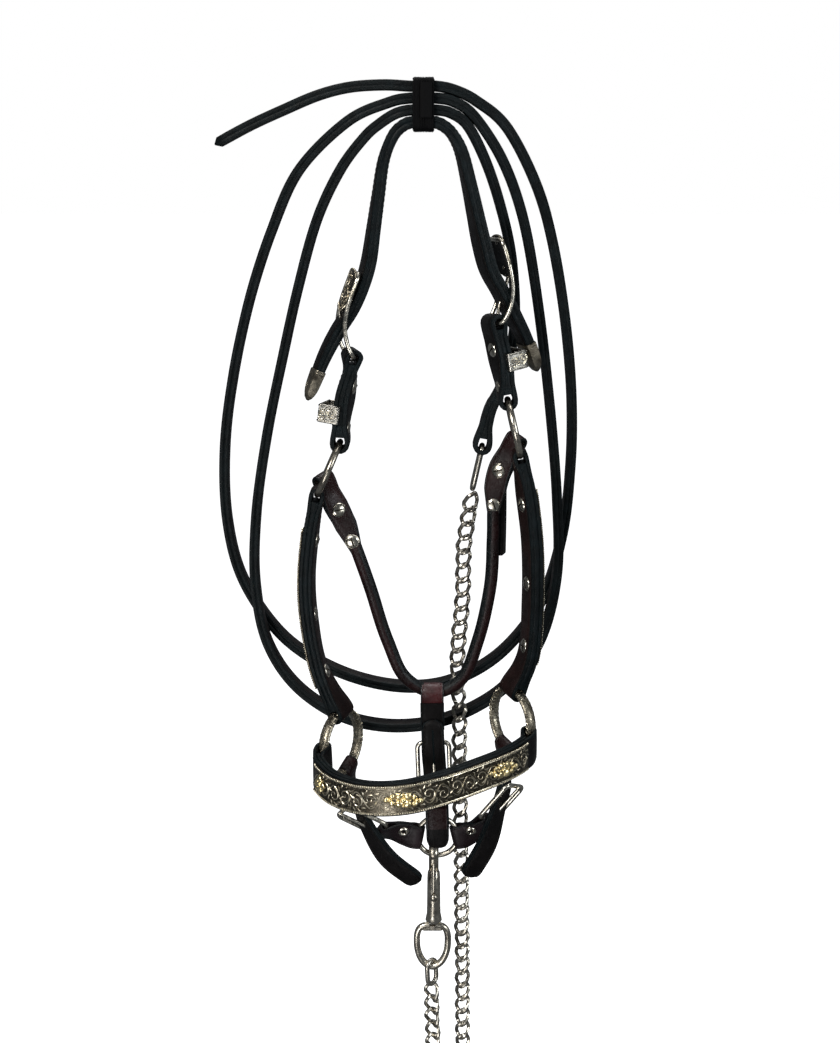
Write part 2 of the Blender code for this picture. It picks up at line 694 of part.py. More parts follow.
JAW_BUCKLE = dict(heel=(10.3, 22, -467), toe=(11.5, 22, -503), bar=(-1, 0, 0))
FLAT_TONGUE = 3.4                     # height of a tongue that lies on a bare toe
jaw_rows = smoothed(rows([(9.5, 21.8, -425.5), (9.5, 22, -436), (9.8, 22, -452), (10.3, 22, -467)],
                         (1, 0, 0), JAW_WIDTH, [14.6, 9.5, 7, 7.4]), 7)
jaw = show(strap("jaw", rounded_off(jaw_rows, True, True)), "jaw_strap", BROWN)
throat_room = resized(throat_table, 0, 0)
throat_room[:, 6:] = throat_table[:, 6:] + 2 * GAP
boolean(jaw, strap("throat_passage", throat_room, 2.9))
made = Buckle("jaw_buckle", width=25, finish=NICKEL,
              path=[(1.5, 2.9), (12, 3.0), (36, FLAT_TONGUE), (38.5, FLAT_TONGUE)], **JAW_BUCKLE)
made.tongue("jaw_tongue", NICKEL)
made.clear_heel(jaw)
billet_rows = smoothed(rows([(14, 20, -529), (13.6, 21.5, -520), (12.6, 26.6, -507), (11.6, 23, -489),
                             (10.6, 15.2, -470), (9.6, 14.2, -448)],
                            (1, 0, 0), [JAW_WIDTH] * 5 + [14], [8.6, 5.5, 4.6, 4.6, 4.6, 4.0]), 8)
billet = show(strap("billet", rounded_off(billet_rows, True, False)), "jaw_billet", LEATHER)
boolean(billet, ring_channel("billet_channel", CHIN_CENTRE, CHIN_TURN, CHIN_RING, CHIN_WIRE, GAP))
made.clear_tongue(billet, TONGUE_PLAY)

# ---------------------------------------------------------------- chin straps

CHIN_BUCKLE = {"left": dict(heel=(-30, 16, -538), toe=(-61, 14, -521), bar=(0.39, -0.68, 0.63)),
               "right": dict(heel=(53, 16, -528), toe=(75, 13, -500), bar=(0.56, 0.74, -0.36))}
CHIN_TAB = {"left": [(-2, 20, -545), (-9, 20, -543.5), (-19, 18.5, -540), (-30, 16, -538)],
            "right": [(30, 20, -545), (37, 19.8, -543), (45, 18.6, -538), (53, 16, -528)]}
CHIN_TAB_SIDES = {"left": [(0, 0, 1), (0.25, -0.1, 0.95), (0.36, -0.4, 0.84), (0.39, -0.68, 0.63)],
                  "right": [(0, 0, 1), (-0.4, -0.15, 0.9), (-0.52, -0.45, 0.72), (-0.56, -0.74, 0.36)]}
CHIN_ROUTE = {"left": [(-53.7, 16, -497), (-48.3, 17.1, -516), (-41.8, 14, -534), (-25, 10.5, -560),
                       (-1, 12, -581)],
              "right": [(66.3, 13, -485.6), (66, 14.3, -501.7), (61.7, 13.9, -518.8), (52, 10.5, -549),
                        (38, 12, -576)]}
CHIN_BILLET_SIDE = {"left": (0.39, -0.68, 0.63), "right": (-0.56, -0.74, 0.36)}
CHIN_TIP_SIDE = {"left": (0.6, -0.4, 0.69), "right": (-0.8, -0.4, 0.5)}
CHIN_LOOP_AT = math.radians(20)       # behind the bottom of the lower ring
for side in SIDES:
    made = Buckle("chin_buckle_" + side, width=24, finish=NICKEL,
                  path=[(1.5, 2.9), (12, 3.2), (36, FLAT_TONGUE), (38, FLAT_TONGUE)],
                  **CHIN_BUCKLE[side])
    made.tongue("chin_tongue_" + side, NICKEL)
    tab_rows = rows(CHIN_TAB[side], CHIN_TAB_SIDES[side], [TAB_WIDTH, TAB_WIDTH, TAB_HEEL + 1, TAB_HEEL],
                    [8.6, TAB_THICK, TAB_THICK, 7.2])
    tab_rows = smoothed(tab_rows, 6)
    tab = show(strap("tab", rounded_off(tab_rows, True, True)), "chin_tab_" + side, BROWN)
    boolean(tab, ring_channel("tab_channel", CHIN_CENTRE, CHIN_TURN, CHIN_RING, CHIN_WIRE, GAP))
    made.clear_heel(tab)
    back = -Vector(across(LOWER_SPLAY[side]))
    down = Vector((0, 0, -1))
    from_centre = back * math.sin(CHIN_LOOP_AT) + down * math.cos(CHIN_LOOP_AT)
    loop = Vector(LOWER_CENTRE[side]) + LOWER_RING * from_centre
    wire = down * math.sin(CHIN_LOOP_AT) - back * math.cos(CHIN_LOOP_AT)
    billet_side = CHIN_BILLET_SIDE[side]
    sides = [tuple(wire)]
    sides += [tuple(wire * f + Vector(billet_side) * (1 - f)) for f in (0.5, 0.1)]
    table = rows([tuple(loop)] + CHIN_ROUTE[side], sides + [billet_side] + [CHIN_TIP_SIDE[side]] * 2,
                 [CHIN_WIDTH] * 5 + [13.0], [9.5, 6.5, 5] + [CHIN_THICK] * 3)
    chin_rows = rounded_off(smoothed(table, 11), True, False)
    chin = show(strap("chin", chin_rows), "chin_strap_" + side, LEATHER)
    boolean(chin, ring_channel("chin_channel", LOWER_CENTRE[side], lower_turn(side),
                               LOWER_RING, LOWER_WIRE, GAP))
    made.clear_tongue(chin, TONGUE_PLAY)

# ---------------------------------------------------------------- bolt snap

SNAP_X, SNAP_Y = 11.0, 20.0
BOLT_Y = SNAP_Y - 6.5                 # the bolt slides in the front of the body
HOOK_Z, HOOK_RADIUS, HOOK_WIRE = -560.0, 6.5, 2.3
BODY_TOP, BODY_LOW, SHELL_LOW = -577.0, -611.0, -617.0
BOLT_TOP, BOLT_LOW, BOLT_RADIUS = -565.5, -597.0, 1.9
BOLT_TRAVEL = 7.0
BUTTON_Z = -593.0
EYE_LOW = -657.0

side_view = rounded_outline(SNAP_Y - 10, BODY_LOW, SNAP_Y + 10, BODY_TOP, 3, 3)
body = sheet("snap_body", [side_view], 9.5)
body.rotation_euler = (math.radians(90), 0, math.radians(90))
body.location = (SNAP_X * MM, 0, 0)
body = as_mesh(body)
hook = [(SNAP_X, SNAP_Y + HOOK_RADIUS, BODY_TOP - 4)]
hook += [(SNAP_X, y, z) for y, z in arc((SNAP_Y, HOOK_Z), HOOK_RADIUS, 0, 195, 9)]
boolean(body, as_mesh(tube("hook", hook, HOOK_WIRE)), "UNION")
boolean(body, rod("neck", (SNAP_X, SNAP_Y, BODY_LOW + 3), (SNAP_X, SNAP_Y, SHELL_LOW), 5.4, 14),
        "UNION")
boolean(body, rod("bolt_bore", (SNAP_X, BOLT_Y, BODY_TOP + 2), (SNAP_X, BOLT_Y, BODY_LOW + 2),
                  BOLT_RADIUS + GAP, 14))
boolean(body, box("button_slot", (SNAP_X - 2, SNAP_Y - 14, BUTTON_Z - BOLT_TRAVEL - 2.6),
                  (SNAP_X + 2, BOLT_Y, BUTTON_Z + 2.6)))
boolean(body, rod("swivel_bore", (SNAP_X, SNAP_Y, SHELL_LOW - 1), (SNAP_X, SNAP_Y, SHELL_LOW + 12),
                  2.6, 14))
show(body, "snap_body", NICKEL)

bolt = rod("bolt", (SNAP_X, BOLT_Y, BOLT_TOP), (SNAP_X, BOLT_Y, BOLT_LOW), BOLT_RADIUS)
boolean(bolt, rod("button_stem", (SNAP_X, BOLT_Y, BUTTON_Z), (SNAP_X, SNAP_Y - 12.6, BUTTON_Z), 1.5),
        "UNION")
boolean(bolt, rod("button", (SNAP_X, SNAP_Y - 10.6, BUTTON_Z), (SNAP_X, SNAP_Y - 13, BUTTON_Z), 3.2, 14),
        "UNION")
show(bolt, "snap_bolt", NICKEL)

SPRING_TURNS, SPRING_RADIUS, SPRING_WIRE = 6, 1.35, 0.3
spring_top, spring_low = BOLT_LOW - GAP - SPRING_WIRE, BODY_LOW + 2 + GAP + SPRING_WIRE
coil = []
for i in range(SPRING_TURNS * 8 + 1):
    turn = 2 * math.pi * i / 8
    height = spring_top + (spring_low - spring_top) * i / (SPRING_TURNS * 8)
    coil.append((SNAP_X + SPRING_RADIUS * math.cos(turn), BOLT_Y + SPRING_RADIUS * math.sin(turn), height))
show(as_mesh(tube("spring", coil, SPRING_WIRE, resolution=0)), "snap_spring", NICKEL)

stem = rod("stem", (SNAP_X, SNAP_Y, SHELL_LOW + 10), (SNAP_X, SNAP_Y, SHELL_LOW - 7), 2.2)
boolean(stem, rod("collar", (SNAP_X, SNAP_Y, SHELL_LOW - 1), (SNAP_X, SNAP_Y, SHELL_LOW - 6), 5.8, 14),
        "UNION")
bow = [(3, SHELL_LOW - 3.2), (3.4, SHELL_LOW - 8), (8, SHELL_LOW - 16), (11.5, SHELL_LOW - 26),
       (11, SHELL_LOW - 33), (7, EYE_LOW), (0, EYE_LOW - 1)]
bow += [(-x, z) for x, z in bow[-2::-1]]
bow = [(SNAP_X - 1 + x, SNAP_Y, z) for x, z in bow]
boolean(stem, as_mesh(tube("bow", bow, 2.05)), "UNION")
show(stem, "snap_swivel", NICKEL)

# ---------------------------------------------------------------- chain and lead

LINK_TOP, LINK_LOW = (46, 36, -240), (42, 38, -259)
link_up = (Vector(LINK_TOP) - Vector(LINK_LOW)).normalized()
link_middle = (Vector(LINK_TOP) + Vector(LINK_LOW)) / 2
link_across = (Vector((0, 1, 0)) - link_up * link_up.y).normalized()
link = []
for x, y in rounded_outline(-5.5, -17.5, 5.5, 17.5, 5.4, 5):
    link.append(tuple(link_middle + link_across * x + link_up * y))
show(as_mesh(tube("link", link, LINK_WIRE + 0.3, closed=True)), "lead_link", NICKEL)

CHAIN_LOW = -783.0                    # the chain's lowest point
CHAIN_ROUTE = ([(10, 20, -663), (10, 20, -690), (11, 21, -727), (12.5, 22.5, -762)]
               + [(23 + 10.8 * math.cos(a), 28 + 5.5 * math.cos(a), CHAIN_LOW + 8 + 10.8 * math.sin(a))
                  for a in np.radians((200, 235, 270, 305, 340))]
               + [(34.5, 35, -762), (34.8, 37, -700), (34, 38.5, -640), (34, 39.5, -583), (32, 40, -522),
                  (31, 40, -455), (29, 40, -408), (33, 40, -356), (34, 40, -315), (38.5, 39.5, -285),
                  (40.1, 38.8, -271.5)])
chain = through(rows(CHAIN_ROUTE, (0, 1, 0), CHAIN_WIDTH, CHAIN_WIDTH), 16)
show(as_mesh(tube("chain", [tuple(row[:3]) for row in chain], CHAIN_WIDTH / 2)), "lead_chain", NICKEL)

LAYER_GAP = 0.7
LAYER = [CROWN_UP + (CROWN_THICK + LEAD_THICK) / 2 + LAYER_GAP + i * (LEAD_THICK + LAYER_GAP)
         for i in range(3)]
FRONT_COIL, BACK_COIL = 54, 73        # how far back the two turns hang
LEAD_ROUTE = (
    [(47.6, 35.4, -232), (53, 36, -206), (63, 36, -184), (70, 35, -152), (71, 32, -122), (67, 26, -85),
     (58, 17, -50), (47, 8, -20), (34, 2, 4), (22, 0, 12.6), (12, 0, LAYER[0]), (3, 0, LAYER[0]),
     (-7, 0, LAYER[0]), (-17, 1, 12.4), (-28, 5, 6), (-40, 9, -4), (-58, 15, -27), (-76, 25, -63),
     (-91, 35, -112), (-104, 43, -164),
     (-118, 49, -226), (-128, 52, -289), (-130, FRONT_COIL, -347), (-120, FRONT_COIL, -398),
     (-92, FRONT_COIL, -437), (-47, FRONT_COIL, -461), (8, FRONT_COIL, -462), (60, FRONT_COIL, -438),
     (94, FRONT_COIL, -396), (108, FRONT_COIL, -340), (107, 51, -279), (99, 44, -199), (88, 33, -122),
     (76, 20, -63), (60, 9, -21), (39, 1, 10), (24, 0, 20.4), (12, 0, LAYER[1]), (3, 0, LAYER[1]),
     (-7, 0, LAYER[1])]
    + [(-22, 1, 20), (-52, 7, 7), (-88, 18, -27), (-110, 31, -71), (-129, 45, -123), (-144, 57, -182),
       (-153, 66, -240), (-153, 71, -298), (-141, BACK_COIL, -349), (-109, BACK_COIL, -396),
       (-64, BACK_COIL, -425), (-16, BACK_COIL, -437), (26, BACK_COIL, -432), (66, BACK_COIL, -408),
       (97, BACK_COIL, -366), (113, 71, -312), (118, 64, -255), (117, 55, -198), (110, 43, -138),
       (98, 29, -78), (84, 16, -36), (62, 5, 3), (40, 1, 21), (24, 0, 28.6), (12, 0, LAYER[2]),
       (3, 0, LAYER[2]), (-7, 0, LAYER[2])]
    + [(-26, 1, 32), (-50, 3, 30.5), (-73, 6, 25), (-98, 9, 15), (-123, 11, 4), (-148, 12, -9)])
lead_table = rows(LEAD_ROUTE, (0, 1, 0), LEAD_WIDTH, LEAD_THICK)
lead_table[0, 7], lead_table[1, 7], lead_table[2, 7] = 12, 11, 9.5
lead_table[-1, 6], lead_table[-2, 6] = 8, 15
lead_rows = through(lead_table, 30)
lead = show(strap("lead", rounded_off(lead_rows, True, False), corners=4), "lead_strap", LEATHER)
boolean(lead, as_mesh(tube("link_channel", link, LINK_WIRE + 0.3 + GAP, closed=True)))

# ---------------------------------------------------------------- tie

tie_top = LAYER[2] + LEAD_THICK / 2 + GAP
tie_half = CROWN_WIDTH / 2 + 0.6
outside = rounded_outline(-tie_half - TIE_THICK, 0, tie_half + TIE_THICK, tie_top + TIE_THICK, 3, 3)
inside = rounded_outline(-tie_half, TIE_THICK, tie_half, tie_top, 1.2, 2)
tie = sheet("tie", [outside, inside], TIE_WIDTH)
tie.rotation_euler = (math.radians(90), 0, math.radians(90))
tie.location = (2.5 * MM, 0, 0)
show(as_mesh(tie), "lead_tie", TIE)
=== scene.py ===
"""Looks of the western show halter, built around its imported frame.

The halter faces -Y, +X is to the right as seen from the front, +Z is up, and the
origin is the hook seat. Routes and sizes are in millimetres, as in the frame's source,
and are turned into metres as a mesh is made.
"""
import json
import math

import bmesh
import bpy
import numpy as np
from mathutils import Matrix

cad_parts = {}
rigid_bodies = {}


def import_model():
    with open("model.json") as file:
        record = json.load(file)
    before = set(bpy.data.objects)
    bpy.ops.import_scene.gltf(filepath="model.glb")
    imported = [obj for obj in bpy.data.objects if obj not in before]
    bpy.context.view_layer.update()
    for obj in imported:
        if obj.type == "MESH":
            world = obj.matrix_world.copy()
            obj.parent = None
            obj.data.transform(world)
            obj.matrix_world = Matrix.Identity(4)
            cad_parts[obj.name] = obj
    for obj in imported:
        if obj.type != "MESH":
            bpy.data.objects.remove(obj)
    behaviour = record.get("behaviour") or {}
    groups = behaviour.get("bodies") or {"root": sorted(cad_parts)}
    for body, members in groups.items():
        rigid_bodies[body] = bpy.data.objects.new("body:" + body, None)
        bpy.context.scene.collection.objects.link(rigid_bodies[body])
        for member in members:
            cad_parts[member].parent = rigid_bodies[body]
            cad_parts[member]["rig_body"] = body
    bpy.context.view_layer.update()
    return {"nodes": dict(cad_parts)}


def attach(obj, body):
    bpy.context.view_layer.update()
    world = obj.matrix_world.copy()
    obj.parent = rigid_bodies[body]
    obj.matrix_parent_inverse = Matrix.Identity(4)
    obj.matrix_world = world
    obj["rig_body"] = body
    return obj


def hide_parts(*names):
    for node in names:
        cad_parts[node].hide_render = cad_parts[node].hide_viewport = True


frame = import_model()

MM = 0.001
NODES = frame["nodes"]
SIDES = ("left", "right")
SIGN = {"left": -1, "right": 1}


# ---------------------------------------------------------------- camera, light, floor

def make_camera():
    camera = bpy.data.objects.new("camera", bpy.data.cameras.new("camera"))
    bpy.context.scene.collection.objects.link(camera)
    camera.data.lens = 55.2
    camera.data.sensor_width = 36
    camera.data.clip_end = 200
    camera.location = (0, -1.1738, -0.0351)
    camera.rotation_euler = (math.radians(78), 0, 0)
    bpy.context.scene.camera = camera


def area_light(name, place, aim, size, power, colour=(1, 1, 1)):
    light = bpy.data.lights.new(name, "AREA")
    light.energy, light.size, light.color = power, size, colour
    lamp = bpy.data.objects.new(name, light)
    bpy.context.scene.collection.objects.link(lamp)
    lamp.location = place
    away = np.array(aim, float) - place
    lamp.rotation_euler = (math.acos(-away[2] / np.linalg.norm(away)), 0,
                           math.atan2(-away[0], away[1]))


def make_world():
    world = bpy.data.worlds.new("studio")
    world.use_nodes = True
    bpy.context.scene.world = world
    nodes, links = world.node_tree.nodes, world.node_tree.links
    back = nodes["Background"]
    ray = nodes.new("ShaderNodeLightPath")
    seen = nodes.new("ShaderNodeBackground")
    seen.inputs["Color"].default_value = (1, 1, 1, 1)
    back.inputs["Color"].default_value = (0.80, 0.86, 0.92, 1)
    back.inputs["Strength"].default_value = 0.14
    mix = nodes.new("ShaderNodeMixShader")
    links.new(ray.outputs["Is Camera Ray"], mix.inputs[0])
    links.new(back.outputs[0], mix.inputs[1])
    links.new(seen.outputs[0], mix.inputs[2])
    links.new(mix.outputs[0], nodes["World Output"].inputs["Surface"])


def make_floor():
    mesh = bpy.data.meshes.new("floor")
    half, height = 60.0, -1.25
    corners = [(-half, -half, height), (half, -half, height), (half, half, height), (-half, half, height)]
    mesh.from_pydata(corners, [], [(0, 1, 2, 3)])
    floor = bpy.data.objects.new("floor", mesh)
    bpy.context.scene.collection.objects.link(floor)
    finish = bpy.data.materials.new("floor")
    finish.use_nodes = True
    shader = finish.node_tree.nodes["Principled BSDF"]
    for name, value in (("Base Color", (0.9, 0.9, 0.9, 1)), ("Roughness", 0.9),
                        ("Emission Color", (1, 1, 1, 1)), ("Emission Strength", 1.0)):
        shader.inputs[name].default_value = value
    mesh.materials.append(finish)
    floor.visible_glossy = floor.visible_diffuse = False


make_camera()
make_world()
make_floor()
area_light("key", (-1.1, -1.5, 0.9), (0, 0, -0.35), 0.9, 34, (1.0, 0.98, 0.95))
area_light("fill", (1.5, -1.2, 0.2), (0, 0, -0.4), 0.8, 16, (0.92, 0.97, 1.0))
area_light("top", (0.1, 0.5, 1.3), (0, 0, -0.3), 1.2, 26)
area_light("low", (-0.5, -1.3, -0.9), (0, 0, -0.6), 0.6, 7)
bpy.context.scene.view_settings.view_transform = "Standard"


# ---------------------------------------------------------------- materials

def shader_of(name):
    made = bpy.data.materials.new(name)
    made.use_nodes = True
    return made, made.node_tree, made.node_tree.nodes["Principled BSDF"]


class Nodes:
    """Short names for the shader nodes that the materials here are made of."""

    def __init__(self, tree):
        self.tree = tree
        self.place = tree.nodes.new("ShaderNodeTexCoord").outputs["Object"]

    def put(self, socket, value):
        if isinstance(value, bpy.types.NodeSocket):
            self.tree.links.new(value, socket)
        else:
            socket.default_value = value

    def noise(self, scale, detail=3.0, rough=0.5, distort=0.0):
        node = self.tree.nodes.new("ShaderNodeTexNoise")
        self.put(node.inputs["Vector"], self.place)
        node.inputs["Scale"].default_value = scale
        node.inputs["Detail"].default_value = detail
        node.inputs["Roughness"].default_value = rough
        node.inputs["Distortion"].default_value = distort
        return node.outputs["Fac"]

    def cell_walls(self, scale):
        node = self.tree.nodes.new("ShaderNodeTexVoronoi")
        self.put(node.inputs["Vector"], self.place)
        node.feature = "DISTANCE_TO_EDGE"
        node.inputs["Scale"].default_value = scale
        return node.outputs["Distance"]

    def ramp(self, value, low, high, out_low=0.0, out_high=1.0):
        node = self.tree.nodes.new("ShaderNodeMapRange")
        node.interpolation_type = "SMOOTHSTEP"
        self.put(node.inputs["Value"], value)
        for name, number in (("From Min", low), ("From Max", high),
                             ("To Min", out_low), ("To Max", out_high)):
            node.inputs[name].default_value = number
        return node.outputs["Result"]

    def mix(self, factor, a, b):
        node = self.tree.nodes.new("ShaderNodeMix")
        node.data_type = "RGBA"
        self.put(node.inputs["Factor"], factor)
        self.put(node.inputs[6], a if isinstance(a, bpy.types.NodeSocket) else (*a, 1))
        self.put(node.inputs[7], b if isinstance(b, bpy.types.NodeSocket) else (*b, 1))
        return node.outputs[2]

    def math(self, kind, a, b):
        node = self.tree.nodes.new("ShaderNodeMath")
        node.operation = kind
        self.put(node.inputs[0], a)
        self.put(node.inputs[1], b)
        return node.outputs[0]

    def value(self, name):
        node = self.tree.nodes.new("ShaderNodeAttribute")
        node.attribute_name = name
        return node.outputs["Fac"]

    def bump(self, height, depth, strength=1.0, below=None):
        node = self.tree.nodes.new("ShaderNodeBump")
        node.inputs["Strength"].default_value = strength
        node.inputs["Distance"].default_value = depth
        self.put(node.inputs["Height"], height)
        if below is not None:
            self.put(node.inputs["Normal"], below)
        return node.outputs["Normal"]


def shaded(colour, factor):
    return tuple(channel * factor for channel in colour)


def leather(name, face, edge, worn, rough=0.42, gloss=0.12):
    """Grained leather whose cut edges are dyed. The mesh value edge is 1 there."""
    made, tree, shader = shader_of(name)
    n = Nodes(tree)
    mottle = n.ramp(n.noise(55, 4, 0.6), 0.3, 0.72)
    skin = n.mix(mottle, shaded(face, 0.45), shaded(face, 1.35))
    dyed = n.mix(n.ramp(n.noise(140, 3), 0.35, 0.7), shaded(edge, 0.6), shaded(edge, 1.3))
    on_edge = n.value("edge")
    colour = n.mix(n.ramp(on_edge, 0.25, 0.75), skin, dyed)
    scuffs = n.math("MULTIPLY", n.ramp(n.noise(420, 6, 0.72, 0.6), 0.58, 0.74),
                    n.ramp(on_edge, 0.1, 0.8, 0.25, 0.8))
    colour = n.mix(scuffs, colour, worn)
    n.put(shader.inputs["Base Color"], colour)
    n.put(shader.inputs["Roughness"], n.ramp(n.noise(180, 4, 0.6), 0.25, 0.75, rough - 0.10, rough + 0.14))
    shader.inputs["Specular IOR Level"].default_value = gloss
    shader.inputs["Coat Weight"].default_value = gloss * 0.25
    shader.inputs["Coat Roughness"].default_value = 0.28
    pores = n.ramp(n.cell_walls(1250), 0.0, 0.22)
    creases = n.noise(260, 7, 0.62, 0.8)
    shape = n.bump(pores, 0.00012, 0.55)
    n.put(shader.inputs["Normal"], n.bump(creases, 0.0006, 0.5, shape))
    return made


def metal(name, bright, dark, rough=0.24, patina=0.5, engraved=0.0, pits=0.2):
    """Worn plated metal. The mesh value deep is 1 in engraved ground, which stays dark with patina, and on
    screw slots, whose dark is painted shade.
    """
    made, tree, shader = shader_of(name)
    n = Nodes(tree)
    tarnish = n.ramp(n.noise(75, 4, 0.6, 0.5), 0.36, 0.76, 0.0, patina)
    colour = n.mix(tarnish, bright, dark)
    colour = n.mix(n.value("deep"), colour, shaded(dark, 0.35))
    normal = n.bump(n.noise(700, 4, 0.6), 0.00005, pits)
    if engraved:
        swirl = n.tree.nodes.new("ShaderNodeTexWave")
        swirl.wave_type, swirl.bands_direction = "RINGS", "Z"
        warp = n.tree.nodes.new("ShaderNodeVectorMath")
        warp.operation = "ADD"
        n.put(warp.inputs[0], n.place)
        bend = n.tree.nodes.new("ShaderNodeTexNoise")
        bend.inputs["Scale"].default_value = 90
        bend.inputs["Detail"].default_value = 1
        n.put(bend.inputs["Vector"], n.place)
        small = n.tree.nodes.new("ShaderNodeVectorMath")
        small.operation = "SCALE"
        n.put(small.inputs[0], bend.outputs["Color"])
        small.inputs["Scale"].default_value = 0.02
        n.put(warp.inputs[1], small.outputs[0])
        n.put(swirl.inputs["Vector"], warp.outputs[0])
        swirl.inputs["Scale"].default_value = 260
        swirl.inputs["Distortion"].default_value = 5
        swirl.inputs["Detail"].default_value = 2
        cut = n.ramp(swirl.outputs["Fac"], 0.25, 0.6)
        ground = n.math("MULTIPLY", n.math("SUBTRACT", 1.0, cut), engraved)
        colour = n.mix(ground, colour, shaded(dark, 0.5))
        normal = n.bump(cut, 0.0002, 0.8 * engraved, normal)
    n.put(shader.inputs["Base Color"], colour)
    n.put(shader.inputs["Normal"], normal)
    n.put(shader.inputs["Roughness"], n.ramp(n.noise(260, 5, 0.6), 0.3, 0.75, rough - 0.08, rough + 0.2))
    shader.inputs["Metallic"].default_value = 1.0
    return made


def thread(name, colour):
    made, tree, shader = shader_of(name)
    n = Nodes(tree)
    n.put(shader.inputs["Base Color"], n.mix(n.noise(900, 2), shaded(colour, 0.5), colour))
    n.put(shader.inputs["Normal"], n.bump(n.noise(2600, 2), 0.0002, 0.8))
    shader.inputs["Roughness"].default_value = 0.75
    shader.inputs["Specular IOR Level"].default_value = 0.1
    return made


def finishes(slot_name, *made):
    """Returns the finishes it is given; the slot name is not used."""
    return made


BLACK, CHEEK, LEAD = finishes(
    "leather",
    leather("black_leather", (0.0045, 0.0036, 0.0036), (0.0024, 0.0050, 0.0060), (0.014, 0.021, 0.024)),
    leather("cheek_leather", (0.0115, 0.0052, 0.0048), (0.0022, 0.0046, 0.0054), (0.024, 0.026, 0.026)),
    leather("lead_leather", (0.0066, 0.0050, 0.0048), (0.0032, 0.0056, 0.0064), (0.020, 0.025, 0.027), 0.46))
BURGUNDY, GLOSSY_LIT_BURGUNDY, BROWN = finishes(
    "brown_leather",
    leather("burgundy_leather", (0.0125, 0.0034, 0.0034), (0.0028, 0.0045, 0.0052), (0.018, 0.010, 0.010),
            0.28, 0.22),
    # The jaw strap's burgundy: a glossier copy of the burgundy leather whose face and worn colours are three
    # to four times lighter, as painted highlight.
    leather("glossy_burgundy_painted_highlight_leather", (0.052, 0.0105, 0.0115), (0.006, 0.006, 0.008), (0.07, 0.03, 0.03),
            0.24, 0.4),
    leather("brown_leather", (0.017, 0.0105, 0.0125), (0.007, 0.0065, 0.0075), (0.05, 0.035, 0.035),
            0.34, 0.22))
SILVER, BEADED, BRIGHT, ANTIQUE = finishes(
    "silver",
    metal("engraved_silver", (0.52, 0.47, 0.37), (0.11, 0.090, 0.062), 0.28, 0.8, 0.75),
    metal("beaded_silver", (0.74, 0.67, 0.52), (0.26, 0.21, 0.13), 0.27, 0.35),
    metal("bright_silver", (0.72, 0.69, 0.62), (0.24, 0.21, 0.17), 0.20, 0.45, 0.5),
    metal("antique_silver", (0.36, 0.32, 0.25), (0.085, 0.068, 0.05), 0.36, 0.9, 0.35))
GOLD, = finishes("gold", metal("gold_metal", (0.92, 0.76, 0.42), (0.50, 0.36, 0.15), 0.24, 0.2, pits=0.05))
NICKEL, POLISHED, CHAIN = finishes(
    "nickel",
    metal("nickel_metal", (0.56, 0.52, 0.44), (0.16, 0.13, 0.10), 0.25, 0.7),
    metal("polished_nickel", (0.68, 0.64, 0.55), (0.20, 0.17, 0.12), 0.21, 0.5),
    metal("chain_metal", (0.50, 0.47, 0.41), (0.13, 0.11, 0.085), 0.27, 0.7))
THREAD, = finishes("leather", thread("stitch_thread", (0.018, 0.016, 0.015)))
WOVEN, = finishes("tie", thread("woven_tie", (0.0026, 0.0026, 0.0030)))


# ---------------------------------------------------------------- lines and frames

def rows(points, side, width, thick):
    """One row a point: the point, the strap's width direction, its width and its thickness."""
    made = []
    for i, point in enumerate(points):
        one_side = side[i] if isinstance(side, list) else side
        one_width = width[i] if isinstance(width, list) else width
        one_thick = thick[i] if isinstance(thick, list) else thick
        made.append([*point, *one_side, one_width, one_thick])
    return np.array(made, float)


def catmull_rom(table, counts):
    padded = np.vstack([2 * table[0] - table[1], table, 2 * table[-1] - table[-2]])
    made = []
    for a, b, c, d, count in zip(padded, padded[1:], padded[2:], padded[3:], counts):
        t = (np.arange(count) / count)[:, None]
        made.append(0.5 * (2 * b + (c - a) * t + (2 * a - 5 * b + 4 * c - d) * t**2
                           + (3 * b - a - 3 * c + d) * t**3))
    made.append(table[-1:])
    return np.vstack(made)


def smoothed(table, step):
    """Rows at even steps along a smooth curve through the given rows."""
    fine = catmull_rom(table, [24] * (len(table) - 1))
    along = distances(fine[:, :3])
    wanted = np.linspace(0, along[-1], max(2, round(along[-1] / step) + 1))
    return np.stack([np.interp(wanted, along, column) for column in fine.T], axis=1)


def distances(points):
    return np.concatenate([[0], np.cumsum(np.linalg.norm(np.diff(points, axis=0), axis=1))])


def unit(vectors):
    vectors = np.asarray(vectors, float)
    return vectors / np.maximum(np.linalg.norm(vectors, axis=-1, keepdims=True), 1e-12)


def frames(table):
    """Directions ahead, across the width and out of the face at each row."""
    ahead = unit(np.gradient(table[:, :3], axis=0))
    side = unit(table[:, 3:6] - ahead * np.sum(table[:, 3:6] * ahead, axis=1, keepdims=True))
    return ahead, side, np.cross(ahead, side)


def raised(table, lift):
    """The rows moved off the strap's face."""
    moved = table.copy()
    moved[:, :3] += frames(table)[2] * lift
    return moved


def across(splay):
    """A strap's width direction, turned from the front by splay degrees."""
    return (math.sin(math.radians(splay)), -math.cos(math.radians(splay)), 0)


# ---------------------------------------------------------------- mesh building

SHARP_ANGLE = math.radians(40)


def body_of(node):
    return NODES[node]["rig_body"]


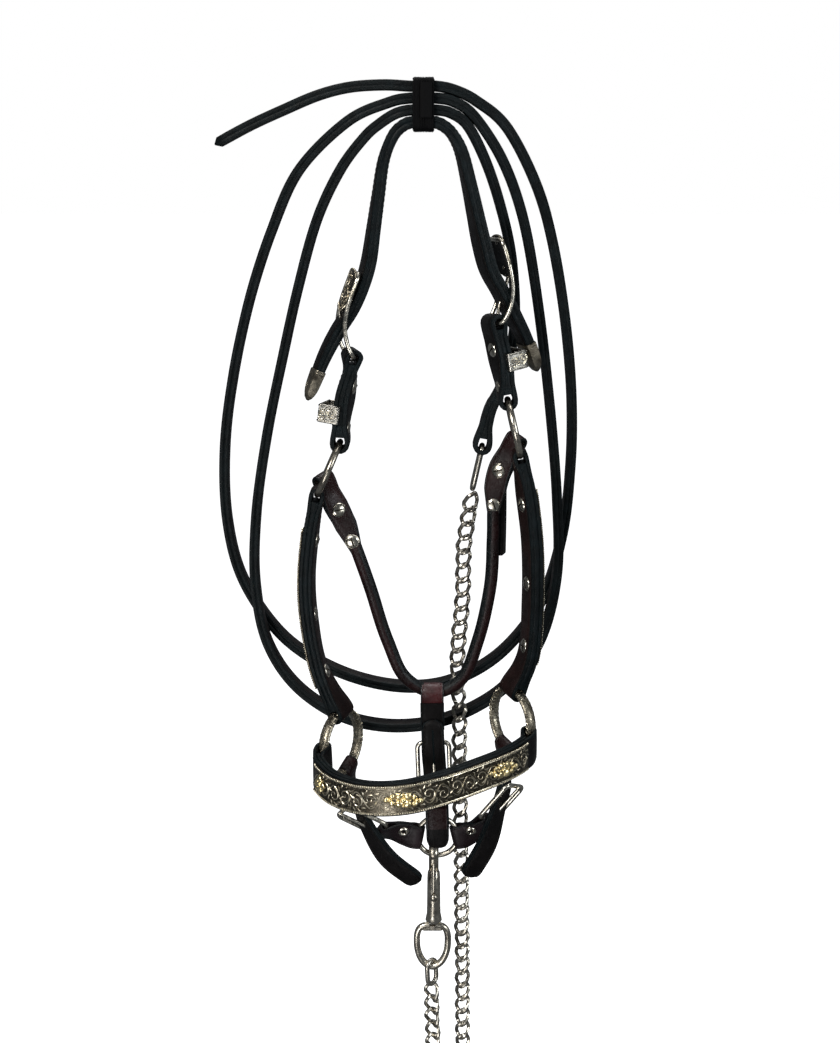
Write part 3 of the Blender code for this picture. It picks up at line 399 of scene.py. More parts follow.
class Mesh:
    """Gathers the surfaces of one piece. Points are in millimetres."""

    def __init__(self):
        self.points, self.faces, self.count = [], [], 0
        self.values = {"edge": [], "deep": []}

    def loft(self, rings, closed_line=False, edge=0.0, deep=0.0):
        """Joins rings of points, given as an array of rings x points x 3."""
        rings = np.asarray(rings, float)
        n, k = rings.shape[:2]
        a, b = np.meshgrid(np.arange(n if closed_line else n - 1), np.arange(k), indexing="ij")
        a2, b2 = (a + 1) % n, (b + 1) % k
        quads = np.stack([a * k + b, a * k + b2, a2 * k + b2, a2 * k + b], axis=-1).reshape(-1, 4)
        faces = quads.tolist()
        if not closed_line:
            faces += [list(range(k))[::-1], list(range((n - 1) * k, n * k))]
        self.points.append(rings.reshape(-1, 3))
        self.faces += [tuple(i + self.count for i in face) for face in faces]
        for name, value in (("edge", edge), ("deep", deep)):
            self.values[name].append(np.broadcast_to(np.asarray(value, float).ravel(), (n * k,)))
        self.count += n * k

    def piece(self, name, material, node=None, body="halter"):
        """Makes the object. It replaces the frame's node, or rides on a body beside the nodes."""
        mesh = bpy.data.meshes.new(name)
        mesh.from_pydata((np.vstack(self.points) * MM).tolist(), [], self.faces)
        mesh.validate()
        for key, parts in self.values.items():
            column = np.concatenate(parts).astype(np.float32)
            mesh.attributes.new(key, "FLOAT", "POINT").data.foreach_set("value", column)
        mesh.materials.append(material)
        mesh.update()
        obj = bpy.data.objects.new(name, mesh)
        bpy.context.scene.collection.objects.link(obj)
        fix_normals(mesh)
        mesh.shade_smooth()
        mesh.set_sharp_from_angle(angle=SHARP_ANGLE)
        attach(obj, body_of(node) if node else body)
        if node:
            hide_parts(node)
        return obj


def fix_normals(mesh):
    edit = bmesh.new()
    edit.from_mesh(mesh)
    bmesh.ops.recalc_face_normals(edit, faces=edit.faces)
    edit.to_mesh(mesh)
    edit.free()


# A section is a list of points (su, du, sv, dv, edge): the point lies su half widths plus du
# across, and sv half thicknesses plus dv out, and edge says how much it belongs to a cut edge.

def layered(layers=2, round_off=0.9, groove=0.45, channel=2.4, depth=0.28, crown=0.2):
    """A strap of stitched layers: a groove between layers at its edges, a channel for the thread."""
    edge = []
    for layer in range(layers):
        low, high = -1 + 2 * layer / layers, -1 + 2 * (layer + 1) / layers
        if layer:
            edge.append((1, -groove, low, 0, 1))
        for f, back in ((0.22, 0.12), (0.5, 0.0), (0.78, 0.12)):
            edge.append((1, -back, low + (high - low) * f, 0, 1))
    edge[0] = (1, -0.25, -1, round_off * 0.35, 1)
    edge[-1] = (1, -0.25, 1, -round_off * 0.35, 1)
    top = [(1, -round_off, 1, 0, 0.75)]
    if channel:
        top += [(1, 0.5 - channel, 1, 0.05, 0.15), (1, -channel, 1, -depth, 0.1),
                (1, -channel - 0.5, 1, 0.05, 0)]
    top += [(0.35, 0, 1, crown, 0), (-0.35, 0, 1, crown, 0)]
    if channel:
        top += [(-1, channel + 0.5, 1, 0.05, 0), (-1, channel, 1, -depth, 0.1),
                (-1, channel - 0.5, 1, 0.05, 0.15)]
    top += [(-1, round_off, 1, 0, 0.75)]
    other_edge = [(-su, -du, sv, dv, e) for su, du, sv, dv, e in edge[::-1]]
    bottom = [(su, du, -1, -dv, e) for su, du, sv, dv, e in top[::-1]]
    return np.array(edge + top + other_edge + bottom)


FILLER = layered(1, 0.4, 0, 0, 0, 0)
PLY = layered(1, 0.8, 0, 2.4, 0.25, 0.1)
# Thin metal with broken edges.
PLATE = np.array([(1, 0, -0.4, 0, 1), (1, 0, 0.4, 0, 1), (1, -0.35, 1, 0, 0), (0.4, 0, 1, 0, 0),
                  (-0.4, 0, 1, 0, 0), (-1, 0.35, 1, 0, 0), (-1, 0, 0.4, 0, 1), (-1, 0, -0.4, 0, 1),
                  (-1, 0.35, -1, 0, 0), (1, -0.35, -1, 0, 0)])


def circle(count):
    """Angles round a full turn."""
    return np.linspace(0, 2 * math.pi, count, endpoint=False)


def swept(mesh, table, section, closed=False, ends=(0, 0), wobble=0.0, phase=0.0):
    """A section along the rows. Ends closes a round or blunt end over that many millimetres."""
    side, face = frames(table)[1:]
    width, thick = table[:, 6].copy(), table[:, 7].copy()
    along = distances(table[:, :3])
    points = table[:, :3].copy()
    if wobble:
        sway = np.sin(along / 19 + phase) + 0.6 * np.sin(along / 7.7 + 2.1 * phase)
        points = points + side * (wobble * sway)[:, None]
        thick = thick * (1 + 0.03 * wobble * np.sin(along / 11 + 3 * phase))
    for end, from_end in zip(ends, (along, along[-1] - along)):
        if end:
            shape = np.sqrt(np.clip(1 - (1 - np.clip(from_end / end, 0, 1)) ** 2, 0.02, 1))
            width, thick = width * shape ** 0.5, thick * shape
    su, du, sv, dv, edge = section.T
    scale = np.minimum(1, width / 6)[:, None]
    u = su * width[:, None] / 2 + du * scale
    v = sv * thick[:, None] / 2 + dv * np.minimum(1, thick / 3)[:, None]
    rings = points[:, None, :] + side[:, None, :] * u[..., None] + face[:, None, :] * v[..., None]
    mesh.loft(rings, closed_line=closed, edge=np.tile(edge, len(table)))


def tube(mesh, points, radius, sides=10, closed=False, flatten=1.0, up=None, edge=0.0, deep=0.0):
    """A round wire. Radius may be one number or one for each point."""
    points = np.asarray(points, float)
    radius = np.broadcast_to(np.asarray(radius, float), (len(points),))
    if closed:
        ahead = unit(np.roll(points, -1, 0) - np.roll(points, 1, 0))
    else:
        ahead = unit(np.gradient(points, axis=0))
    normal = np.array(up if up is not None else (0.31, 0.52, 0.79), float)
    normals = []
    for direction in ahead:
        if up is not None:
            normal = np.array(up, float)
        normal = unit(normal - direction * np.dot(normal, direction))
        normals.append(normal)
    normals = np.array(normals)
    other = np.cross(ahead, normals)
    angle = circle(sides)
    spokes = (normals[:, None, :] * (np.cos(angle) * flatten)[None, :, None]
              + other[:, None, :] * np.sin(angle)[None, :, None])
    rings = points[:, None, :] + spokes * radius[:, None, None]
    mesh.loft(rings, closed_line=closed, edge=edge, deep=deep)


def ring_points(centre, normal, radius, count=64):
    """Points round a circle. Its normal mustn't be vertical."""
    normal = unit(normal)
    first = unit(np.array((0, 0, 1.0)) - normal * normal[2])
    second = np.cross(normal, first)
    angle = circle(count)[:, None]
    return np.array(centre) + radius * (np.cos(angle) * first + np.sin(angle) * second)


def hoop(mesh, centre, normal, radius, wire, count=28, sides=6):
    """A ring of wire."""
    tube(mesh, ring_points(centre, normal, radius, count), wire, sides, closed=True)


def dome(mesh, centre, out, radius, height, sides=20, levels=6, deep=0.0):
    """A rounded head on a surface."""
    out = unit(out)
    centre = np.array(centre, float)
    rings = [ring_points(centre - out * 0.6, out, radius, sides)]
    for level in range(levels + 1):
        a = math.pi / 2 * level / levels
        small = max(radius * math.cos(a), 0.02)
        rings.append(ring_points(centre + out * height * math.sin(a), out, small, sides))
    mesh.loft(rings, deep=deep)


def box(mesh, centre, axes, half, deep=0.0, bevel=0.25):
    """A bevelled block."""
    axes = [unit(a) for a in axes]
    b = min(bevel, *(h * 0.45 for h in half))
    c = b * 0.6
    rings = []
    for z, inset in ((-half[2], b), (-half[2] + b, 0), (half[2] - b, 0), (half[2], b)):
        x, y = half[0] - inset, half[1] - inset
        outline = [(x, y - c), (x - c, y), (-x + c, y), (-x, y - c),
                   (-x, -y + c), (-x + c, -y), (x - c, -y), (x, -y + c)]
        rings.append([np.array(centre) + axes[0] * u + axes[1] * v + axes[2] * z for u, v in outline])
    mesh.loft(rings, deep=deep)


def rounded_box(x0, y0, x1, y1, radius, count=5):
    """The outline of a rectangle with round corners."""
    made = []
    for cx, cy, start in ((x1 - radius, y0 + radius, -90), (x1 - radius, y1 - radius, 0),
                          (x0 + radius, y1 - radius, 90), (x0 + radius, y0 + radius, 180)):
        for a in np.radians(np.linspace(start, start + 90, count)):
            made.append((cx + radius * math.cos(a), cy + radius * math.sin(a)))
    return np.array(made)


def stitches(mesh, table, inset, sides=(1, -1), pitch=4.0, length=3.0, radius=0.33, trim=(4, 4)):
    """Thread lying in the channels, one spindle a stitch."""
    ahead, side, face = frames(table)
    along = distances(table[:, :3])
    spots = np.arange(trim[0], along[-1] - trim[1], pitch)
    columns = np.hstack([table, ahead, side, face])
    at_spots = np.stack([np.interp(spots, along, c) for c in columns.T], axis=1)
    for row in at_spots:
        forward, right, out = unit(row[8:11]), unit(row[11:14]), unit(row[14:17])
        for s in sides:
            for f in (1, -1):
                middle = row[:3] + right * s * (row[6] / 2 - inset) + out * f * (row[7] / 2 - 0.02)
                rings = []
                for end, thin in ((-0.5, 0.35), (-0.3, 1), (0.3, 1), (0.5, 0.35)):
                    centre = middle + forward * end * length - out * f * (0.28 if abs(end) == 0.5 else 0)
                    rings.append([centre + (right * math.cos(a) + out * math.sin(a)) * radius * thin
                                  for a in (0, 1.26, 2.51, 3.77, 5.03)])
                mesh.loft(rings)


FOLD_TURN = np.radians((65, 40, 15, -15, -40, -65))


def folded(mesh, table, ply, ends, flare=13.0, section=PLY):
    """One layer of leather that goes round a bar at each end of the rows and comes back.

    ends are the layer's centre line radii round the two bars, or 0 where it has no bar.
    Returns how far the layer's centre line is from the strap's own.
    """
    ahead, side, face = frames(table)
    along = distances(table[:, :3])
    reach = (table[:, 7] - ply) / 2
    for radius, from_end in ((ends[0], along), (ends[1], along[-1] - along)):
        if radius:
            t = np.clip(from_end / flare, 0, 1)
            t = t * t * (3 - 2 * t)
            reach = radius * (1 - t) + reach * t
    last = len(table) - 1
    stops = [(i, face[i] * reach[i]) for i in range(last + 1)]
    if ends[1]:
        stops += [(last, (face[last] * math.sin(a) + ahead[last] * math.cos(a)) * ends[1])
                  for a in FOLD_TURN]
    stops += [(i, -face[i] * reach[i]) for i in range(last, -1, -1)]
    if ends[0]:
        stops += [(0, (face[0] * math.sin(a) - ahead[0] * math.cos(a)) * ends[0])
                  for a in FOLD_TURN[::-1]]
    index = [i for i, offset in stops]
    line = table[index, :3] + np.array([offset for i, offset in stops])
    forward = unit(np.roll(line, -1, 0) - np.roll(line, 1, 0))
    wide = side[index]
    wide = unit(wide - forward * np.sum(wide * forward, axis=1, keepdims=True))
    normal = np.cross(forward, wide)
    su, du, sv, dv, edge = section.T
    u = su * table[index, 6][:, None] / 2 + du
    v = np.broadcast_to(sv * ply / 2 + dv, u.shape)
    rings = line[:, None, :] + wide[:, None, :] * u[..., None] + normal[:, None, :] * v[..., None]
    mesh.loft(rings, closed_line=True, edge=np.tile(edge, len(line)))
    return reach


def piece_from(build, name, material, *what, node=None, body="halter", slot=None, **how):
    """A piece made by a single call of swept, folded, tube or stitches."""
    mesh = Mesh()
    build(mesh, *what, **how)
    return mesh.piece(name, material, node, body)


def sew(name, table, inset, body="halter", **how):
    """A strap's stitching."""
    piece_from(stitches, name + "_stitching", THREAD, table, inset, body=body, **how)


# ---------------------------------------------------------------- lead, chain and snap

CROWN_UP, CROWN_THICK, CROWN_WIDTH = 6.2, 8.0, 22.0
LEAD_WIDTH, LEAD_THICK = 16.0, 7.5
LAYER = [CROWN_UP + (CROWN_THICK + LEAD_THICK) / 2 + 0.7 + i * (LEAD_THICK + 0.7) for i in range(3)]
FRONT_COIL, BACK_COIL = 54, 73
LEAD_ROUTE = (
    [(47.6, 35.4, -232), (53, 36, -206), (63, 36, -184), (70, 35, -152), (71, 32, -122), (67, 26, -85),
     (58, 17, -50), (47, 8, -20), (34, 2, 4), (22, 0, 12.6), (12, 0, LAYER[0]), (3, 0, LAYER[0]),
     (-7, 0, LAYER[0]), (-17, 1, 12.4), (-28, 5, 6), (-40, 9, -4), (-58, 15, -27), (-76, 25, -63),
     (-91, 35, -112), (-104, 43, -164),
     (-118, 49, -226), (-128, 52, -289), (-130, FRONT_COIL, -347), (-120, FRONT_COIL, -398),
     (-92, FRONT_COIL, -437), (-47, FRONT_COIL, -461), (8, FRONT_COIL, -462), (60, FRONT_COIL, -438),
     (94, FRONT_COIL, -396), (108, FRONT_COIL, -340), (107, 51, -279), (99, 44, -199), (88, 33, -122),
     (76, 20, -63), (60, 9, -21), (39, 1, 10), (24, 0, 20.4), (12, 0, LAYER[1]), (3, 0, LAYER[1]),
     (-7, 0, LAYER[1])]
    + [(-22, 1, 20), (-52, 7, 7), (-88, 18, -27), (-110, 31, -71), (-129, 45, -123), (-144, 57, -182),
       (-153, 66, -240), (-153, 71, -298), (-141, BACK_COIL, -349), (-109, BACK_COIL, -396),
       (-64, BACK_COIL, -425), (-16, BACK_COIL, -437), (26, BACK_COIL, -432), (66, BACK_COIL, -408),
       (97, BACK_COIL, -366), (113, 71, -312), (118, 64, -255), (117, 55, -198), (110, 43, -138),
       (98, 29, -78), (84, 16, -36), (62, 5, 3), (40, 1, 21), (24, 0, 28.6), (12, 0, LAYER[2]),
       (3, 0, LAYER[2]), (-7, 0, LAYER[2])]
    + [(-26, 1, 32), (-50, 3, 30.5), (-73, 6, 25), (-98, 9, 15), (-123, 11, 4), (-148, 12, -9)])


LINK_TOP, LINK_LOW = np.array((46, 36, -240.0)), np.array((42, 38, -259.0))


def make_lead():
    """The lead, whose first 36 mm are folded round the link, and its centre line."""
    fine = smoothed(rows(LEAD_ROUTE, (0, 1, 0), LEAD_WIDTH - 0.4, LEAD_THICK - 0.4), 4.0)
    along = distances(fine[:, :3])
    path, length = fine[::3, :3] * MM, along[-1] * MM
    taper = np.clip((along[-1] - along) / 12, 0, 1)
    fine[:, 6] *= 0.42 + 0.58 * np.sqrt(taper)
    lead = Mesh()
    loop = fine[along < 36].copy()
    loop[:, 7] = np.interp(distances(loop[:, :3]), (0, 20, 36), (10.6, 9.6, 8.6))
    loop = smoothed(loop, 1.8)
    reach = folded(lead, loop, 3.8, (5.4, 0), 16)
    inside = distances(loop[:, :3]) > 3.6
    core = loop[inside].copy()
    core[:, 6] -= 0.6
    core[:, 7] = 2 * reach[inside] - 3.9
    swept(lead, core, FILLER)
    fine = fine[along > 17]
    fine[:, 7] += 1.7 * np.exp(-distances(fine[:, :3]) / 25)
    swept(lead, fine, layered(2, 1.0, 0.6, 2.6, 0.25, 0.25), ends=(3.5, 2.0), wobble=0.22, phase=0.4)
    return lead.piece("lead_strap_leather", LEAD, "lead_strap"), path, length


def stadium(half_width, half_length, count=10):
    """A rounded link's centre line in its own plane, as (across, along) points."""
    made = []
    for start, centre in ((0, half_length - half_width), (math.pi, half_width - half_length)):
        for a in np.linspace(start, start + math.pi, count):
            made.append((half_width * math.cos(a), centre + half_width * math.sin(a)))
    return np.array(made)


def make_link():
    up = unit(LINK_TOP - LINK_LOW)
    right = unit(np.array((0, 1, 0)) - up * up[1])
    outline = stadium(5.5, 17.5, 12)
    line = (LINK_TOP + LINK_LOW) / 2 + outline[:, :1] * right + outline[:, 1:] * up
    return piece_from(tube, "lead_link_ring", CHAIN, line, 2.1, 12, closed=True, node="lead_link")


CHAIN_LOW, CHAIN_PITCH, CHAIN_WIRE = -783.0, 11.5, 1.6
CHAIN_ROUTE = ([(10, 20, -663), (10, 20, -690), (11, 21, -727), (12.5, 22.5, -762)]
               + [(23 + 10.8 * math.cos(a), 28 + 5.5 * math.cos(a), CHAIN_LOW + 8 + 10.8 * math.sin(a))
                  for a in np.radians((200, 235, 270, 305, 340))]
               + [(34.5, 35, -762), (34.8, 37, -700), (34, 38.5, -640), (34, 39.5, -583), (32, 40, -522),
                  (31, 40, -455), (29, 40, -408), (33, 40, -356), (34, 40, -315), (38.5, 39.5, -285),
                  (40.1, 38.8, -271.5)])


def turned(first, second, angle):
    """Two square directions, both turned in their plane by an angle from the first to the second."""
    return (first * math.cos(angle) + second * math.sin(angle),
            second * math.cos(angle) - first * math.sin(angle))


def make_chain():
    """Curb links along the route, a plain link at the snap's end, and the centre line."""
    table = smoothed(rows(CHAIN_ROUTE, (1, -0.12, 0), 12, 12), 2.0)
    along = distances(table[:, :3])
    count = round(along[-1] / CHAIN_PITCH)
    pitch = along[-1] / count
    ahead, side, face = frames(table)
    columns = np.hstack([table[:, :3], ahead, side, face])
    eye = stadium(5.6, 10.2, 12)
    first = (table[0, :3] + (-0.5, 0, 0.5) + eye[:, :1] * np.array((0.62, 0.78, 0))
             + eye[:, 1:] * np.array((0.05, 0, -1.0)))
    end_link = piece_from(tube, "lead_chain_end_link", CHAIN, first, 2.0, 10, closed=True)
    outline = stadium(4.9, pitch / 2 + CHAIN_WIRE + 0.2, 9)
    twist = math.radians(60) * outline[:, 1] / outline[:, 1].max()
    lean = math.radians(16)
    chain = Mesh()
    for i in range(1, count):
        middle = (i + 0.5) * pitch
        row = [np.interp(middle, along, c) for c in columns.T]
        here, forward, right, out = np.array(row[:3]), unit(row[3:6]), unit(row[6:9]), unit(row[9:12])
        sway = math.radians(14 * math.sin(middle / 46) + 9 * math.sin(middle / 17 + 1) + (4 if i % 2 else -4))
        right, out = turned(right, out, sway)
        forward, right = turned(forward, right, lean)
        line = (here + forward * outline[:, 1:] + right * (outline[:, 0] * np.cos(twist))[:, None]
                + out * (outline[:, 0] * np.sin(twist))[:, None])
        tube(chain, line, CHAIN_WIRE, 8, closed=True)
    made = chain.piece("lead_chain_links", CHAIN, "lead_chain")
    return made, end_link, table[::3, :3] * MM, along[-1] * MM


SNAP_X, SNAP_Y = 11.0, 20.0
HOOK_Z, BODY_TOP, BODY_LOW, SHELL_LOW, EYE_LOW = -560.0, -577.0, -611.0, -617.0, -657.0


def make_snap():
    """The snap's body, bolt, swivel eye and spring."""
    # The hook is a tapering wire that leaves the back of the shank and comes round over the ring.
    body = Mesh()
    shank = [(0, 5.6, BODY_LOW + 8), (0, 6.4, BODY_TOP - 8), (0, 6.8, BODY_TOP + 2), (0, 6.6, HOOK_Z - 4)]
    arc = [(0, 6.5 * math.cos(a), HOOK_Z + 6.5 * math.sin(a)) for a in np.radians(np.linspace(0, 195, 15))]
    line = np.array([(SNAP_X + x, SNAP_Y + y, z) for x, y, z in shank + arc])
    line = smoothed(np.hstack([line, np.zeros((len(line), 5))]), 1.2)[:, :3]
    radius = np.interp(np.linspace(0, 1, len(line)), (0, 0.35, 0.75, 0.96, 1), (2.6, 2.5, 2.5, 2.3, 1.4))
    tube(body, line, radius, 14, flatten=1.6, up=(1, 0, 0))
    # The barrel round the bolt, oval in section, swelling towards the swivel.
    profile = [(BODY_TOP + 3.5, 3.9, 3.9), (BODY_TOP + 1.5, 4.9, 5.2), (BODY_TOP - 3, 5.2, 5.8),
               (BODY_TOP - 12, 5.3, 6.2), (BODY_TOP - 26, 5.4, 6.6), (BODY_LOW + 1, 5.6, 6.4),
               (BODY_LOW - 2, 6.2, 6.4), (SHELL_LOW + 1.2, 6.7, 6.6), (SHELL_LOW, 6.0, 6.0)]
    body.loft([[(SNAP_X + half_x * math.cos(a), SNAP_Y - 1.5 * (half_y > 5.7) + half_y * math.sin(a), z)
                for a in circle(24)] for z, half_x, half_y in profile])
    body.piece("snap_body_barrel", NICKEL, "snap_body")

    bolt = Mesh()
    bolt_y = SNAP_Y - 6.5
    bolt_top, thumb = -565.5, -593
    tube(bolt, [(SNAP_X, bolt_y, z) for z in np.linspace(bolt_top, thumb + 3, 8)], [0.9, 1.6] + [1.8] * 6, 12)
    tube(bolt, [(SNAP_X, y, thumb) for y in (bolt_y - 0.5, SNAP_Y - 9, SNAP_Y - 11)], 1.35, 10)
    dome(bolt, (SNAP_X, SNAP_Y - 11, thumb), (0, -1, 0), 3.1, 1.9)
    bolt.piece("snap_bolt_thumb", NICKEL, "snap_bolt")

    # The swivel eye: a stirrup of wire that thickens at its foot, and a block across its top.
    swivel = Mesh()
    half = [(x, SHELL_LOW - down) for x, down in ((2.4, 4.2), (6.6, 4.8), (10.2, 7.0), (12.2, 12), (12.5, 19),
                                                  (11.8, 26), (9.6, 32.5), (5.8, 37.8))]
    half.append((0, EYE_LOW - 0.6))
    bow = half + [(-x, z) for x, z in half[-2::-1]]
    line = np.array([(SNAP_X - 1 + x, SNAP_Y, z, 0, 0, 0, 0, 0) for x, z in bow], float)
    line = smoothed(line, 1.6)[:, :3]
    t = np.abs(np.linspace(-1, 1, len(line)))
    tube(swivel, line, 2.9 - 0.3 * t, 12)
    box(swivel, (SNAP_X - 1, SNAP_Y, SHELL_LOW - 6.5), np.eye(3), (8.2, 1.9, 2.6), bevel=1.4)
    swivel.piece("snap_swivel_eye", NICKEL, "snap_swivel")

    turns, count = 6, 150
    angle = np.linspace(0, 2 * math.pi * turns, count)
    coil = [SNAP_X + 1.3 * np.cos(angle), bolt_y + 1.3 * np.sin(angle), np.linspace(-597.8, -608.2, count)]
    piece_from(tube, "snap_spring_coil", BRIGHT, np.stack(coil, axis=1), 0.28, 6,
               node="snap_spring", slot="nickel")


lead, lead_path, lead_length = make_lead()
lead_ring = make_link()
chain, chain_end, chain_path, chain_length = make_chain()
make_snap()


# ---------------------------------------------------------------- ornament

def on_strap(table, s, v, lift):
    """The point at s along a strap's face, v across it and lift above it."""
    along = distances(table[:, :3])
    columns = np.hstack([table[:, :3], *frames(table)[1:]])
    s = np.atleast_1d(s)
    row = np.stack([np.interp(s, along, c) for c in columns.T], axis=1)
    v, lift = np.broadcast_to(v, s.shape), np.broadcast_to(lift, s.shape)
    return row[:, :3] + row[:, 3:6] * v[:, None] + row[:, 6:9] * lift[:, None]


def scrollwork(length, height, pitch):
    """Strokes of a running vine with a curl in each bend, as (points, radii) in strap coordinates."""
    count = max(1, round(length / pitch))
    pitch = length / count
    s = np.linspace(0, length, 14 * count + 1)
    vine = np.stack([s, 0.34 * height * np.sin(math.pi * s / pitch)], axis=1)
    strokes = [(vine, np.full(len(s), 0.42))]
    for k in range(count):
        flip = 1 if k % 2 == 0 else -1
        middle = np.array([(k + 0.5) * pitch, -0.07 * height * flip])
        t = np.linspace(0, 1, 22)
        r = 0.30 * height * (1 - 0.82 * t)
        a = math.pi * 0.5 - 2 * math.pi * 1.25 * t
        curl = middle + np.stack([r * np.cos(a), flip * r * np.sin(a)], axis=1)
        strokes.append((curl, 0.46 - 0.16 * t))
        for j in range(5):
            b = math.radians(-160 + 35 * j)
            foot = middle + 0.33 * height * np.array([math.cos(b), flip * math.sin(b)])
            tip = middle + 0.50 * height * np.array([math.cos(b + 0.35), flip * math.sin(b + 0.35)])
            bend = (foot + tip) / 2 + 0.05 * height * np.array([-math.sin(b), flip * math.cos(b)])
            leaf = np.array([foot, (foot + bend) / 2, bend, (bend + tip) / 2, tip])
            strokes.append((leaf, np.array([0.18, 0.42, 0.48, 0.34, 0.1])))
    return strokes


def engrave(mesh, table, length, height, pitch, start=0.0, lift=0.0, thin=1.0):
    """Scrollwork laid on a strap's face."""
    for line, radius in scrollwork(length, height, pitch):
        v = np.clip(line[:, 1], -0.5 * height, 0.5 * height)
        tube(mesh, on_strap(table, start + line[:, 0], v, lift), radius * thin, 5)


def beads(mesh, table, v, lift, radius=0.72, pitch=1.65, trim=0.6):
    """A row of small domes along a plate's edge."""
    face = frames(table)[2]
    along = distances(table[:, :3])
    for s in np.arange(trim, along[-1] - trim / 2, pitch):
        centre = on_strap(table, s, v, lift)[0]
        out = unit([np.interp(s, along, c) for c in face.T])
        dome(mesh, centre, out, radius, radius * 0.8, sides=8, levels=3)


def ornate_plate(name, table, node, lift, pitch):
    """An engraved plate with a beaded edge, laid on a strap's face at lift (negative: the other face)."""
    thick, margin = 1.3, 2.1
    laid = raised(table, lift)
    if lift < 0:
        laid = laid[::-1].copy()
    width = laid[0, 6]
    plate = Mesh()
    blank = laid.copy()
    blank[:, 7] = thick
    swept(plate, blank, PLATE, ends=(3, 3))
    plate.values["deep"] = [np.full(len(p), 0.78) for p in plate.values["deep"]]
    plate.piece(name, SILVER, node)
    relief = Mesh()
    length = distances(laid[:, :3])[-1]
    engrave(relief, laid, length - 6, width - 2 * margin - 1.2, pitch, 3.0, thick / 2 + 0.02)
    relief.piece(name + "_scrolls", BEADED, body=body_of(node))
    edge = Mesh()
    for v in (1, -1):
        beads(edge, laid, v * (width / 2 - 1.0), thick / 2)
        rail = on_strap(laid, np.linspace(0.5, length - 0.5, 60), v * (width / 2 - 1.95), thick / 2)
        tube(edge, rail, 0.26, 5)
    edge.piece(name + "_beading", BEADED, body=body_of(node))


def screw(name, seat, out, turn):
    """A domed screw head with a slot and a pressed ring round it."""
    radius = 5.4
    out = unit(out)
    seat = np.array(seat, float)
    side = unit(np.cross(out, (0.3, 0.2, 0.93)))
    slot_way = side * math.cos(turn) + np.cross(out, side) * math.sin(turn)
    slot_across = np.cross(out, slot_way)
    head = Mesh()
    dome(head, seat, out, radius, 1.9, sides=28, levels=7)
    hoop(head, seat + out * 0.12, out, radius - 0.1, 0.32, 24)
    head.piece(name + "_head", POLISHED, name)
    axes = (slot_way, slot_across, out)
    # The slot is a thin, nearly black bar set into the dome's top: painted shade standing in for a cut
    # groove.
    piece_from(box, name + "_slot", ANTIQUE, seat + out * 1.72, axes, (3.4, 0.55, 0.25), deep=1.0, bevel=0.1,
               body=body_of(name), slot="nickel")


# ---------------------------------------------------------------- crown

UPPER_RING, UPPER_WIRE = 21.5, 2.0
LOWER_RING, LOWER_WIRE = 24.75, 2.25
CHIN_RING, CHIN_WIRE = 16.0, 2.0
UPPER_CENTRE = {"left": (-68, 0, -244), "right": (69.5, 0, -213.5)}
UPPER_LEAN = {"left": 24, "right": -13}
LOWER_CENTRE = {"left": (-61, 0, -459), "right": (71, 0, -441)}
LOWER_SPLAY = {"left": -30, "right": 32}
CHIN_CENTRE = (14, 20, -545)

CROWN_LEFT = [(-83, -190), (-77, -175), (-69.5, -158), (-60, -141), (-50, -126), (-42.5, -110),
              (-37, -92), (-33.5, -69), (-30, -45), (-26, -20), (-19, -3), (-12, 4)]
CROWN_TOP = [(-6, CROWN_UP), (2.5, CROWN_UP), (11, CROWN_UP)]
CROWN_RIGHT = [(17, 3.6), (23, -2), (29.5, -15), (35, -38), (39.5, -59), (44, -80), (49.5, -98),
               (59, -114), (68, -130), (77, -146), (84, -161), (88, -171)]
BUCKLE_X = {"left": -50, "right": 54}
CROWN_TURN = {"left": 14, "right": 20}


def crown_points():
    """The crown's route and width directions. Its ends turn with the buckles they go through."""
    points, sides = [], []
    for route, pivot, full in ((CROWN_LEFT[::-1], BUCKLE_X["left"], CROWN_TURN["left"]),
                               (CROWN_TOP, 0, 0), (CROWN_RIGHT, BUCKLE_X["right"], CROWN_TURN["right"])):
        part = []
        for i, (x, z) in enumerate(route):
            degrees = full * min(1, max(0, (i - 1) / 4))
            turn = math.radians(degrees)
            place = (pivot + (x - pivot) * math.cos(turn), (x - pivot) * math.sin(turn), z)
            part.append((place, across(degrees)))
        if pivot < 0:
            part.reverse()
        points += [place for place, side in part]
        sides += [side for place, side in part]
    return points, sides


crown_table = rows(*crown_points(), [13.0, 18.0, 21.0] + [CROWN_WIDTH] * 21 + [21.0, 18.0, 13.0],
                   CROWN_THICK - 0.2)
crown_rows = smoothed(crown_table, 3.0)
from_ends = np.minimum(distances(crown_rows[:, :3]), distances(crown_rows[:, :3])[::-1])
crown_rows[:, 7] *= 0.72 + 0.28 * np.clip(from_ends / 45, 0, 1)


def squarish(angle, power):
    """A point of a unit circle that a power below 1 swells towards a square."""
    return tuple(math.copysign(abs(c) ** power, c) for c in (math.cos(angle), math.sin(angle)))


